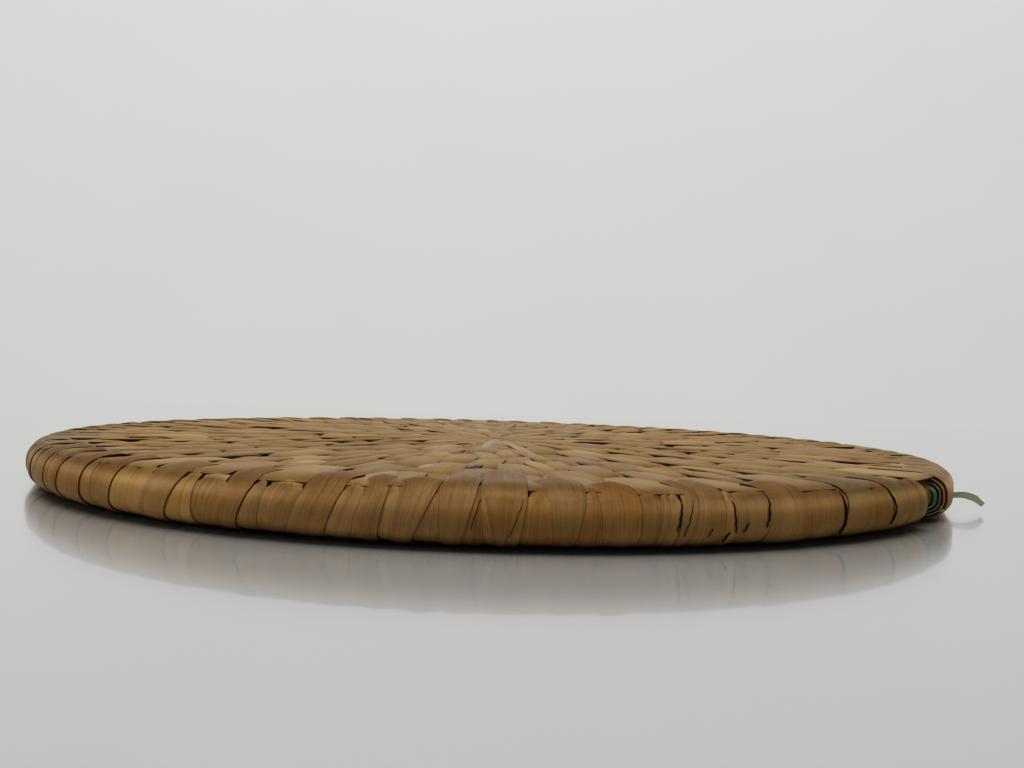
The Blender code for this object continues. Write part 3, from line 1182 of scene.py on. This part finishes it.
@dataclass
class WovenField:
    """The flat field: rings of short floats that lie between one another like tiles.

    A float arches by hump, more steeply towards its ends, and the last end_share of it dives.
    Without MM, lower, outer_spare, shove, turn, lifted, lying and pressed are in millimetres,
    usual_gap, crowding and yaw in degrees, and the rest are shares.
    """

    outer_crest: float = 98.4 * MM
    under_crest: float = 95.0 * MM
    pitch: float = 8.7 * MM
    innermost: float = 24 * MM
    usual_gap: tuple[float, float] = (0.6, 20)
    float_length: float = 17.4 * MM
    float_width: float = 6.2 * MM
    cover: float = 1.12
    length_range: tuple[float, float] = (0.92, 1.08)
    width_range: tuple[float, float] = (0.86, 1.12)
    brightness: tuple[float, float] = (0.82, 1.12)
    narrowest: float = 1.9 * MM
    widest: float = 4.8 * MM
    split: float = 0.28
    split_power: float = 0.85
    crowding: float = 2.0
    evening_rounds: int = 5
    evening: float = 0.25
    crown: float = 0.36 * MM
    flatness: float = 5.0
    hump: float = 0.85 * MM
    hump_power: float = 6.0
    outer_hump: float = 0.15
    dive: float = 1.0 * MM
    end_share: float = 0.13
    dive_round: float = 0.98
    lap: float = 1.2 * MM
    lower: tuple[float, float] = (-0.25, 0.10)
    shoulder_room: float = 0.1 * MM
    least_height: float = 0.05 * MM
    outer_end: float = 108.3 * MM
    outer_spare: float = 0.6
    shove: float = 0.7
    turn: float = 0.9
    yaw: float = 0.45
    taper: float = 0.03
    uneven: float = 0.14
    lifted_share: float = 0.25
    lifted: tuple[float, float] = (0.18, 0.34)
    lying: tuple[float, float] = (0.05, 0.20)
    pressed: float = 0.04
    dense: int = 121
    rows: int = 12
    lanes: int = 4
    seed: int = SEED + 7

    def build(self, finish: ReedFinish, rim: RimWrapping) -> None:
        """Lays and dresses the floats of the top and of the underside.

        Args:
            finish: The reed's finish.
            rim: The rim wrapping, whose gaps the outermost floats come out of.
        """
        blank = StripBlank("float_blank", self.rows, self.lanes, end_share=0.93,
                           edge_share=0.88).model()
        material = finish.material()
        gaps = self.gaps([strip for strip in rim.strips() if strip.kind is LONG])
        for name, crest, side, seed in (("field_top_floats", self.outer_crest, 1, self.seed),
                                        ("field_under_floats", self.under_crest, -1, self.seed + 1)):
            bundle = Bundle(name, blank, 30)
            self.lay_rings(bundle, gaps, crest, side, seed)
            settle(bundle.join(material), "reed_field", "stitched_field")

    def gaps(self, longs: list[RimStrip]) -> tuple[np.ndarray, np.ndarray]:
        """Finds the gaps between the long stitches at the top.

        Args:
            longs: The long stitches, in order round the rim.

        Returns:
            The angles of the gaps' middles, rising, and the gaps' widths in degrees.
        """
        edges = sorted((strip.top[0] % 360, strip.top[1] % 360) for strip in longs)
        least, most = self.usual_gap
        found = []
        for here, after in zip(edges, edges[1:] + edges[:1]):
            gap = (after[0] - here[1]) % 360
            if least < gap < most:
                found.append(((here[1] + gap / 2) % 360, gap))
        found.sort()
        return np.array([place for place, _ in found]), np.array([gap for _, gap in found])

    def lay_rings(self, bundle: Bundle, gaps: tuple[np.ndarray, np.ndarray], crest: float,
                  side: int, seed: int) -> None:
        """Lays the floats of one face, ring by ring towards the centre.

        Args:
            bundle: Where the floats go.
            gaps: The gaps that the outermost ring's floats fill: middles and widths.
            crest: Radius of the outermost ring's crests.
            side: 1 on the top, -1 on the underside.
            seed: Start of the small differences.
        """
        draw = np.random.default_rng(seed)
        outermost = crest
        angles, widths = gaps
        while crest > self.innermost:
            if crest < outermost:
                widths = (np.roll(angles, -1) - np.roll(angles, 1)) % 360 / 4 * self.cover
            for angle, width in zip(angles, widths):
                half = np.radians(width / 2) * crest * draw.uniform(*self.width_range)
                half = np.clip(half, self.narrowest, self.widest)
                parts = 2 if crest < outermost and draw.uniform() < self.split else 1
                apart = np.degrees(half / crest) * (0.5 if parts == 2 else 0.0)
                for part in (-1, 1)[:parts]:
                    self.lay_float(bundle, angle + part * apart, crest,
                                   half / parts**self.split_power, side, crest == outermost, draw)
            crest -= self.pitch
            angles = self.next_ring(angles, crest, draw)

    def next_ring(self, angles: np.ndarray, crest: float, draw: np.random.Generator) -> np.ndarray:
        """Places a ring's floats between those of the ring outside it, fewer where crowded.

        Args:
            angles: Angles of the ring outside.
            crest: Radius of the new ring's crests.
            draw: Source of small differences.

        Returns:
            The new ring's angles, rising.
        """
        steps = (np.roll(angles, -1) - angles) % 360
        middles = angles + steps / 2
        wanted = int(round(np.pi * crest / self.float_width))
        surplus = max(0, len(middles) - wanted)
        if surplus:
            tight = np.argsort(steps + draw.uniform(0, self.crowding, len(steps)))
            dropped: list[int] = []
            for number in tight:
                if all(min(abs(number - d), len(steps) - abs(number - d)) > 1 for d in dropped):
                    dropped.append(int(number))
                if len(dropped) == surplus:
                    break
            middles = np.delete(middles, dropped)
        for _ in range(self.evening_rounds):
            left = (middles - np.roll(middles, 1)) % 360
            right = (np.roll(middles, -1) - middles) % 360
            middles = middles + self.evening * (right - left) / 2
        return np.sort(middles % 360)

    def outline(self, crest: float, side: int, outermost: bool, draw: np.random.Generator,
                ) -> tuple[np.ndarray, np.ndarray]:
        """Finds how a float runs towards the centre: an arch whose ends dive.

        Args:
            crest: Radius of its middle.
            side: 1 on the top, -1 on the underside.
            outermost: Whether it comes over the rim's shoulder, between the long stitches.
            draw: Source of its small differences.

        Returns:
            Its radii and heights at its cross lines.
        """
        over_shoulder = outermost and side > 0
        length = self.float_length * draw.uniform(*self.length_range)
        middle = crest + draw.uniform(-self.shove, self.shove) * MM
        share = np.linspace(-1, 1, self.dense)
        radius = middle - share * np.where(share < 0, length / 2 + self.lap, length / 2)
        past = np.clip((np.abs(share) - (1 - self.end_share)) / self.end_share, 0, 1)
        if over_shoulder:
            outer = self.outer_end - draw.uniform(0, self.outer_spare) * MM
            radius = np.linspace(outer, radius[-1], self.dense)
            past = np.where(share < 0, 0, past)
        arch = np.where(share < 0, self.outer_hump if over_shoulder else 1.0, 1.0)
        fall = arch * self.hump * np.abs(share) ** self.hump_power
        fall = fall + self.dive * (1 - np.sqrt(1 - self.dive_round * past**2))
        fall = fall - draw.uniform(*self.lower) * MM
        height = np.minimum(THICKNESS - fall, shoulder_height(radius) + self.shoulder_room)
        radius, height = paced(radius, height, self.rows + 1)
        if side < 0:
            radius, height = radius[::-1], np.maximum(THICKNESS - height[::-1], self.least_height)
        return radius, height

    def lay_float(self, bundle: Bundle, angle: float, crest: float, half: float, side: int,
                  outermost: bool, draw: np.random.Generator) -> None:
        """Lays one float.

        Args:
            bundle: Where it goes.
            angle: Its angle.
            crest: Radius of its middle.
            half: Half its width.
            side: 1 on the top, -1 on the underside.
            outermost: Whether it comes over the rim's shoulder, between the long stitches.
            draw: Source of its small differences.
        """
        radius, height = self.outline(crest, side, outermost, draw)
        place = np.linspace(-1, 1, self.rows + 1)
        turn = draw.uniform(-self.turn, self.turn) * MM / crest
        uneven = draw.uniform(-self.uneven, self.uneven)
        width = half * (1 - self.taper * place**2 + uneven * place)
        crown = np.full(self.rows + 1, self.crown)
        if outermost:
            width = half * read_off(OUTER_WIDTHS, place)
            crown = self.crown * read_off(OUTER_CROWNS, place)
        tip = draw.uniform(*(self.lifted if draw.uniform() < self.lifted_share else self.lying))
        tip = self.pressed if outermost or side < 0 else tip
        yaw = draw.uniform(-self.yaw, self.yaw)
        course = Course(angle=angle + np.degrees(turn * place) + yaw, radius=radius,
                        height=height - side * crown, half=width, crown=crown,
                        tip=draw.choice((-1, 1)) * tip * MM, flatness=self.flatness)
        colour = pick(FLOAT_TONES, draw).linear() * draw.uniform(*self.brightness)
        bundle.lay(course, colour, read_off(FLOAT_PAINTED_SHADE, place), draw)


STAR_TONES = (Tone.STRAW, Tone.OLIVE, Tone.TAN, Tone.GREY)


@dataclass
class CentreStar:
    """Long flat strips that fan out from the centre, where the mat was begun.

    Outer is the range of their outer ends in millimetres. Layer is how far each of three in
    turn lies under the one before. Two pale rays lie over them, each given by its angle and its
    outer end in millimetres.
    """

    strips: int = 18
    outer: tuple[float, float] = (26, 34)
    inner: float = 1.2 * MM
    fall: float = 2.4 * MM
    fall_share: float = 0.14
    sag: float = 0.25 * MM
    crown: float = 0.3 * MM
    layer: float = 0.12 * MM
    depth: float = 0.1 * MM
    sunk: float = 0.2 * MM
    wander: float = 3
    brightness: tuple[float, float] = (0.9, 1.1)
    rays: tuple[tuple[float, float], ...] = ((-3.0, 52.0), (10.0, 54.0))
    ray_length: float = 40
    ray_half: float = 1.6
    ray_narrowing: float = 0.7
    ray_fall: float = 0.9 * MM
    ray_sunk: float = 0.25 * MM
    ray_crown: float = 0.2 * MM
    ray_shade: float = 0.75
    seed: int = SEED + 20
    rows: int = 14
    lanes: int = 4

    def build(self, finish: ReedFinish) -> None:
        """Lays and dresses the strips of both faces.

        Args:
            finish: The reed's finish.
        """
        blank = StripBlank("star_blank", self.rows, self.lanes, end_share=0.7,
                           edge_share=0.8).model()
        draw = np.random.default_rng(self.seed)
        star = Bundle("centre_star", blank, 12)
        for side in (1, -1):
            for number in range(self.strips):
                self.lay_strip(star, number, side, draw)
        for angle, outer in self.rays:
            self.lay_ray(star, angle, outer, draw)
        settle(star.join(finish.material()), "reed_field", "stitched_field")

    def lay_ray(self, star: Bundle, angle: float, outer: float, draw: np.random.Generator) -> None:
        """Lays one pale ray on the top.

        Args:
            star: Where it goes.
            angle: Its angle.
            outer: Its outer end in millimetres.
            draw: Source of its pattern offset.
        """
        share = np.linspace(0, 1, self.rows + 1)
        course = Course(angle=np.full(self.rows + 1, angle),
                        radius=(outer - self.ray_length * share) * MM,
                        height=THICKNESS - self.ray_fall * (1 - share) ** 6 - self.ray_sunk,
                        half=(self.ray_half - self.ray_narrowing * share) * MM,
                        crown=self.ray_crown)
        star.lay(course, Tone.PALE.linear() * self.ray_shade, np.ones(self.rows + 1), draw)

    def lay_strip(self, star: Bundle, number: int, side: int, draw: np.random.Generator) -> None:
        """Lays one strip of the star.

        Args:
            star: Where it goes.
            number: Its place in the fan.
            side: 1 on the top, -1 on the underside.
            draw: Source of its small differences.
        """
        outer = draw.uniform(*self.outer) * MM
        share = np.linspace(0, 1, 101)
        radius = outer + (self.inner - outer) * share
        fall = self.fall * np.clip(1 - share / self.fall_share, 0, 1) ** 2 + self.sag * share
        radius, height = paced(radius, THICKNESS - fall, self.rows + 1)
        if side < 0:
            radius, height = radius[::-1], THICKNESS - height[::-1]
        angle = 360 * number / self.strips + draw.uniform(-self.wander, self.wander)
        half = np.interp(radius, (1 * MM, 18 * MM, 34 * MM), (0.5 * MM, 3.0 * MM, 3.2 * MM))
        lower = (number % 3) * self.layer + self.depth
        course = Course(angle=np.full(self.rows + 1, angle), radius=radius,
                        height=height - side * lower - side * self.sunk, half=half,
                        crown=self.crown)
        colour = pick(STAR_TONES, draw).linear() * draw.uniform(*self.brightness)
        star.lay(course, colour, np.ones(self.rows + 1), draw)


class FieldBit(NamedTuple):
    """A short end of reed on the field: its angle, the radii of its ends and half its width.

    The radii and the half width are in millimetres.
    """

    angle: float
    outer: float
    inner: float
    half: float
    tone: Tone


FIELD_BITS = (
    FieldBit(14.8, 77.5, 66.0, 1.1, Tone.DUSK),
    FieldBit(-1.4, 83.5, 75.5, 1.2, Tone.PLUM),
    # A painted highlight: a glint on a cut end, laid as a pale end.
    FieldBit(-20.3, 91.0, 83.0, 1.5, Tone.PALE),
    FieldBit(-7.0, 86.0, 79.0, 0.8, Tone.PALE),
    FieldBit(-4.6, 86.0, 78.0, 0.9, Tone.STRAW),
    FieldBit(4.0, 88.0, 80.0, 0.7, Tone.RUST),
    FieldBit(22.0, 88.0, 79.0, 1.2, Tone.STRAW),
    FieldBit(-33.0, 72.0, 62.0, 1.3, Tone.RUST),
)


@dataclass
class FieldBits:
    """The ends of strips that were tucked in between the floats and show as single marks.

    Sunk, end_fall and lean are in millimetres.
    """

    sunk: float = 0.25
    end_fall: float = 0.7
    narrowing: float = 0.15
    crown: float = 0.22 * MM
    tip: float = 0.12 * MM
    flatness: float = 3.0
    lean: float = 1.2
    end_shade: float = 0.7
    rows: int = 8
    lanes: int = 4
    seed: int = SEED + 50

    def build(self, finish: ReedFinish) -> None:
        """Lays and dresses the ends.

        Args:
            finish: The reed's finish.
        """
        blank = StripBlank("bit_blank", self.rows, self.lanes, end_share=0.75,
                           edge_share=0.85).model()
        draw = np.random.default_rng(self.seed)
        bundle = Bundle("field_ends", blank, 4)
        place = np.linspace(-1, 1, self.rows + 1)
        # Painted shade: darker towards both ends, where the ends tuck in under the floats.
        shade = np.interp(place, (-1, 0, 1), (self.end_shade, 1.0, self.end_shade))
        for bit in FIELD_BITS:
            radius = (bit.outer + bit.inner) / 2 - place * (bit.outer - bit.inner) / 2
            lean = np.degrees(draw.uniform(-self.lean, self.lean) / bit.outer) * place
            depth = self.sunk + self.end_fall * np.abs(place) ** 4
            course = Course(angle=bit.angle + lean, radius=radius * MM,
                            height=THICKNESS - depth * MM,
                            half=bit.half * MM * (1 - self.narrowing * place), crown=self.crown,
                            tip=draw.choice((-1, 1)) * self.tip, flatness=self.flatness)
            bundle.lay(course, bit.tone.linear(), shade, draw)
        settle(bundle.join(finish.material()), "reed_field", "stitched_field")


@dataclass
class CoilCore:
    """The coils of rush under the strips, seen in the small holes and the open place.

    Grooves lie a pitch apart, one of them at the radius of groove. From bare_from outwards,
    where they show in the open place, the coils have the strips' own tan.
    """

    outer: float = 108.1 * MM
    top: float = 9.0 * MM
    bottom: float = 1.0 * MM
    under: float = 1.4 * MM
    groove: float = 98.4 * MM
    groove_depth: float = 0.55 * MM
    under_depth: float = 1.0 * MM
    side_width: float = 5.6 * MM
    pitch: float = 8.7 * MM
    bare_from: float = 100 * MM
    bare_blend: float = 3 * MM
    bare_shade: float = 0.8
    steps: int = 180

    def build(self, finish: ReedFinish) -> None:
        """Spins the coils' outline round the axis and dresses them.

        Args:
            finish: The rush's finish.
        """
        choose_nothing()
        bpy.ops.mesh.primitive_plane_add(size=1 * MM)
        core = bpy.context.object
        core.name = "coil_core"
        outline = self.outline()
        choose_points(core, lambda p: np.ones(len(p), bool))
        bpy.ops.mesh.merge(type="CENTER")
        choose_points(core, lambda p: np.ones(len(p), bool))
        bpy.ops.transform.translate(value=(outline[0][0], 0, outline[0][1]))
        for here, after in zip(outline, outline[1:]):
            step = (after[0] - here[0], 0, after[1] - here[1])
            bpy.ops.mesh.extrude_region_move(TRANSFORM_OT_translate={"value": step})
        bpy.ops.mesh.select_all(action="SELECT")
        bpy.ops.mesh.spin(steps=self.steps, angle=2 * np.pi, center=(0, 0, 0), axis=(0, 0, 1))
        bpy.ops.mesh.select_all(action="SELECT")
        bpy.ops.mesh.remove_doubles(threshold=0.02 * MM)
        bpy.ops.mesh.normals_make_consistent(inside=False)
        bpy.ops.object.mode_set(mode="OBJECT")
        bpy.ops.object.shade_smooth_by_angle(angle=radians(60))
        self.paint(core)
        core.data.materials.append(finish.material())
        settle(core, "reed_field", "stitched_field")

    def outline(self) -> list[tuple[float, float]]:
        """Draws the coils' outline, from the top centre outwards and back underneath.

        Returns:
            Radius and height of each of its points.
        """
        inner = self.outer - self.side_width
        flat = np.linspace(0, inner, 76)
        rise = np.abs(np.sin(np.pi * (self.groove - flat) / self.pitch))
        top = self.top - self.groove_depth * (1 - rise)
        under = self.under + self.under_depth * (1 - rise)
        side = np.radians(np.linspace(80, -80, 11))
        middle = (self.top + self.bottom) / 2
        tall = (self.top - self.bottom) / 2
        points = list(zip(flat, top))
        points += [(inner + self.side_width * np.cos(a) ** SQUARENESS, middle + tall * np.sin(a))
                   for a in side]
        points += list(zip(flat[::-3], under[::-3]))
        points.append((0.0, self.under))
        return points

    def paint(self, core: bpy.types.Object) -> None:
        """Gives the coils their colour and a map that runs round the axis.

        Args:
            core: The coils.
        """
        mesh = core.data
        spots = points_of(mesh)
        reach = np.hypot(spots[:, 0], spots[:, 1])
        bare = np.clip((reach - self.bare_from) / self.bare_blend, 0, 1)[:, None]
        pith, skin = Tone.PITH.linear(), Tone.TAN.linear()
        paint_points(mesh, pith * (1 - bare) + skin * bare * self.bare_shade)
        drop_maps(mesh)
        around = np.arctan2(spots[:, 0], -spots[:, 1]) * reach
        chart = np.column_stack([reach + spots[:, 2], around])
        add_map(mesh, "reed", chart[corners_of(mesh)])


class OpenBand(NamedTuple):
    """One of the bands in the open place.

    Depth and crest are in millimetres, and start, stop and sway, the swing to the right, in
    degrees.
    """

    node: str
    slot: str
    depth: float
    start: float
    stop: float
    sway: float
    crest: float
    tone: Tone


OPEN_BANDS = (
    OpenBand("slack_loop", "reed_loops", 0.0, 52.4, 56.0, 0.8, 96.6, Tone.GREY),
    OpenBand("second_loop", "reed_loops", 0.6, 51.6, 55.6, 1.2, 97.2, Tone.GREY),
    OpenBand("third_loop", "reed_loops", 1.2, 51.0, 55.2, 1.4, 97.8, Tone.FERN),
    OpenBand("inner_strip", "reed_teal", 1.8, 48.6, 51.2, 2.6, 98.4, Tone.TEAL),
)


@dataclass
class OpenPlace:
    """The bands that lie inside one another where the wrapping has slipped open.

    Puff is how much further out than the rim they reach, and they swing to the right from the
    radius of swing_from outwards.
    """

    puff: float = 0.35 * MM
    foot: float = 0.08 * MM
    foot_start: float = 100 * MM
    bend: float = 2 * MM
    tail: float = 1 * MM
    crown: float = 0.05 * MM
    swing_from: float = 100 * MM
    swing_over: float = 10 * MM
    rows: int = 32
    lanes: int = 6
    seed: int = SEED + 30

    def build(self, finish: ReedFinish) -> None:
        """Lays and dresses each band as a piece of its own.

        Args:
            finish: The reed's finish.
        """
        blank = StripBlank("band_blank", self.rows, self.lanes, end_share=0.9,
                           edge_share=0.92).model()
        draw = np.random.default_rng(self.seed)
        material = finish.material()
        for band in OPEN_BANDS:
            course = self.course(band)
            bundle = Bundle(band.node, blank, 1)
            bundle.lay(course, band.tone.linear(), rim_painted_light(course), draw)
            settle(bundle.join(material), band.slot, band.node)

    def course(self, band: OpenBand) -> Course:
        """Finds where one band runs: over the rim, swung to the right on its side.

        Args:
            band: The band.

        Returns:
            Its course.
        """
        radius, height = rim_outline(band.crest * MM, self.foot, self.bend, self.tail,
                                     self.foot_start, BULGE + self.puff)
        radius, height = paced(radius, height, self.rows + 1)
        half = np.radians((band.stop - band.start) / 2) * WRAP_RADIUS
        swing = np.clip((radius - self.swing_from) / self.swing_over, 0, 1) ** 2
        course = Course(angle=(band.start + band.stop) / 2 + band.sway * swing, radius=radius,
                        height=height, half=np.full(self.rows + 1, half), crown=self.crown)
        course.shift(-band.depth * MM, -band.depth * MM)
        return course


class EndSection(NamedTuple):
    """One section of the loose end: how far out of the rim, how high, how wide and its slope.

    Lengths are in millimetres and the slope is in degrees.
    """

    out: float
    height: float
    width: float
    slope: float


END_SECTIONS = (
    EndSection(out=-1.5, height=2.95, width=1.2, slope=12),
    EndSection(out=0.0, height=3.15, width=1.2, slope=12),
    EndSection(out=1.3, height=3.36, width=1.35, slope=5),
    EndSection(out=2.4, height=3.30, width=1.5, slope=-6),
    EndSection(out=3.6, height=3.00, width=1.5, slope=-20),
    EndSection(out=4.4, height=2.58, width=1.5, slope=-30),
    EndSection(out=4.6, height=2.36, width=1.2, slope=-38),
    EndSection(out=5.6, height=1.52, width=1.2, slope=-40),
)


@dataclass
class LooseEnd:
    """The green strip end that stands out of the rim on its narrow edge and droops."""

    angle: float = 64.4
    length: float = 8 * MM
    half: float = 0.7 * MM
    rows: int = 20
    lanes: int = 4
    seed: int = SEED + 40

    def build(self, finish: ReedFinish) -> None:
        """Lays a copy of a blank flat, for its colour and maps, bends it and dresses it.

        Args:
            finish: The reed's finish.
        """
        blank = StripBlank("end_blank", self.rows, self.lanes, end_share=0.95,
                           edge_share=0.85).model()
        draw = np.random.default_rng(self.seed)
        count = self.rows + 1
        flat = Course(angle=np.zeros(count), radius=np.linspace(0, self.length, count),
                      height=np.zeros(count), half=np.full(count, self.half))
        bundle = Bundle("loose_end", blank, 1)
        bundle.lay(flat, Tone.GREEN.linear(), np.ones(count), draw)
        bundle.strips[0].data.vertices.foreach_set("co", self.bent(blank).ravel())
        settle(bundle.join(finish.material()), "reed_green", "loose_end")

    def bent(self, blank: StripBlank) -> np.ndarray:
        """Stands the blank on its edge, out of the rim, and bends it through the sections.

        Args:
            blank: The blank.

        Returns:
            Rows of x, y and z for its points.
        """
        marks = np.linspace(0, 1, len(END_SECTIONS))
        out, high, wide, slope = (np.interp(blank.along, marks, column)
                                  for column in zip(*END_SECTIONS))
        slope = np.radians(slope)
        half = wide * MM / 2
        radius = RADIUS + out * MM - blank.across * half * np.sin(slope)
        height = high * MM + blank.across * half * np.cos(slope)
        side = -(blank.depth + REED_THICKNESS / 2)
        turned = radians(self.angle)
        return np.column_stack([radius * np.sin(turned) + side * np.cos(turned),
                                side * np.sin(turned) - radius * np.cos(turned), height])


class SoftLight(NamedTuple):
    """A soft square light: where it hangs, the point that it faces, its width and its watts."""

    name: str
    place: tuple[float, float, float]
    aim: tuple[float, float, float]
    size: float
    power: float


SOFT_LIGHTS = (
    SoftLight("soft_top", (-0.25, -0.30, 0.95), (0, -0.05, 0), 0.30, 0.9),
    SoftLight("left_window", (-0.85, -0.28, 0.28), (0, -0.02, 0), 0.45, 3.9),
    SoftLight("right_room", (0.85, -0.35, 0.24), (0.05, -0.05, 0), 0.50, 1.5),
    SoftLight("front_fill", (0.0, -1.2, 0.16), (0, -0.1, 0.01), 0.9, 4.6),
    SoftLight("wall_wash", (0.0, 0.12, 1.15), (0, 0.43, 0.40), 0.9, 52.0),
)


@dataclass
class Studio:
    """The pale table and wall, the soft lights and the camera."""

    back: float = 0.43
    side: float = 1.6
    tall: float = 1.4
    room_colour: tuple[float, float, float] = (0.97, 0.98, 1.0)
    room_light: float = 0.24
    lens: float = 29.14
    sensor: float = 36.0
    nearest: float = 0.01
    camera_place: tuple[float, float, float] = (0.00396, -0.22506, 0.02357)
    pitch: float = 90.09
    roll: float = 1.87

    def build(self) -> None:
        """Sets up the table, lights and camera."""
        self.table()
        for light in SOFT_LIGHTS:
            self.hang(light)
        world = bpy.data.worlds.new("room")
        bpy.context.scene.world = world
        world.use_nodes = True
        room = world.node_tree.nodes["Background"]
        room.inputs["Color"].default_value = (*self.room_colour, 1)
        room.inputs["Strength"].default_value = self.room_light
        self.camera()

    def table(self) -> None:
        """Models the table and the wall behind it as one folded sheet."""
        choose_nothing()
        half = 1.0
        bpy.ops.mesh.primitive_plane_add(size=2 * half, location=(0, 0, 0))
        sheet = bpy.context.object
        sheet.name = "table_and_wall"
        choose_points(sheet, lambda p: np.ones(len(p), bool))
        bpy.ops.transform.resize(value=(self.side, 1, 1))
        choose_points(sheet, lambda p: p[:, 1] > 0)
        bpy.ops.transform.translate(value=(0, self.back - half, 0))
        bpy.ops.mesh.extrude_region_move(TRANSFORM_OT_translate={"value": (0, 0, self.tall)})
        bpy.ops.object.mode_set(mode="OBJECT")
        table = SheetFinish("pale_table", (0.105, 0.106, 0.099), roughness=0.05, coat=1.0)
        wall = SheetFinish("pale_wall", (0.81, 0.81, 0.785), roughness=0.9, coat=0.0)
        sheet.data.materials.append(table.material())
        sheet.data.materials.append(wall.material())
        for face in sheet.data.polygons:
            face.material_index = int(face.center.z > 0.0)

    @staticmethod
    def hang(light: SoftLight) -> None:
        """Hangs a soft square light and turns it to the point that it faces.

        Args:
            light: The light.
        """
        bpy.ops.object.light_add(type="AREA", location=light.place)
        lamp = bpy.context.object
        lamp.name = light.name
        lamp.data.size = light.size
        lamp.data.energy = light.power
        way = np.array(light.aim) - np.array(light.place)
        flat = np.hypot(way[0], way[1])
        lamp.rotation_euler = (atan2(flat, -way[2]), 0, atan2(-way[0], way[1]))

    def camera(self) -> None:
        """Stands the camera a little above the mat's height, in front of it."""
        bpy.ops.object.camera_add(location=self.camera_place)
        camera = bpy.context.object
        camera.name = "front_camera"
        camera.data.lens = self.lens
        camera.data.sensor_width = self.sensor
        camera.data.clip_start = self.nearest
        camera.rotation_euler = (radians(self.pitch), 0, 0)
        camera.rotation_euler.rotate_axis("Z", radians(self.roll))
        bpy.context.scene.camera = camera


def main() -> None:
    """Builds the trivet's pieces in order, then the studio."""
    logging.basicConfig(level=logging.INFO)
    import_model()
    finish = ReedFinish("woven_reed", contrast=1.4, edge_shade=0.60, soft_edge_shade=0.22,
                        tint=(0.565, 0.56, 0.443))
    rim = RimWrapping()
    CoilCore().build(ReedFinish("rush_core", contrast=1.4, roughness=0.7, tint=(0.72, 0.70, 0.60)))
    WovenField().build(finish, rim)
    CentreStar().build(finish)
    FieldBits().build(finish)
    rim.build(ReedFinish("rim_reed", contrast=1.05, roughness=0.36, satin=0.20, shine=0.003,
                         edge_shade=0.36, line_depth=0.07 * MM, glint=(0.42, 0.34, 0.20)))
    RimTears().build(ReedFinish("tear_shadow_reed", roughness=0.9, satin=0.0, shine=0.0))
    OpenPlace().build(ReedFinish("band_reed", contrast=1.4, edge_shade=0.9, tint=(1.3, 1.3, 1.3)))
    LooseEnd().build(ReedFinish("green_reed", line_width=0.18 * MM))
    Studio().build()


if __name__ == "__main__":
    main()
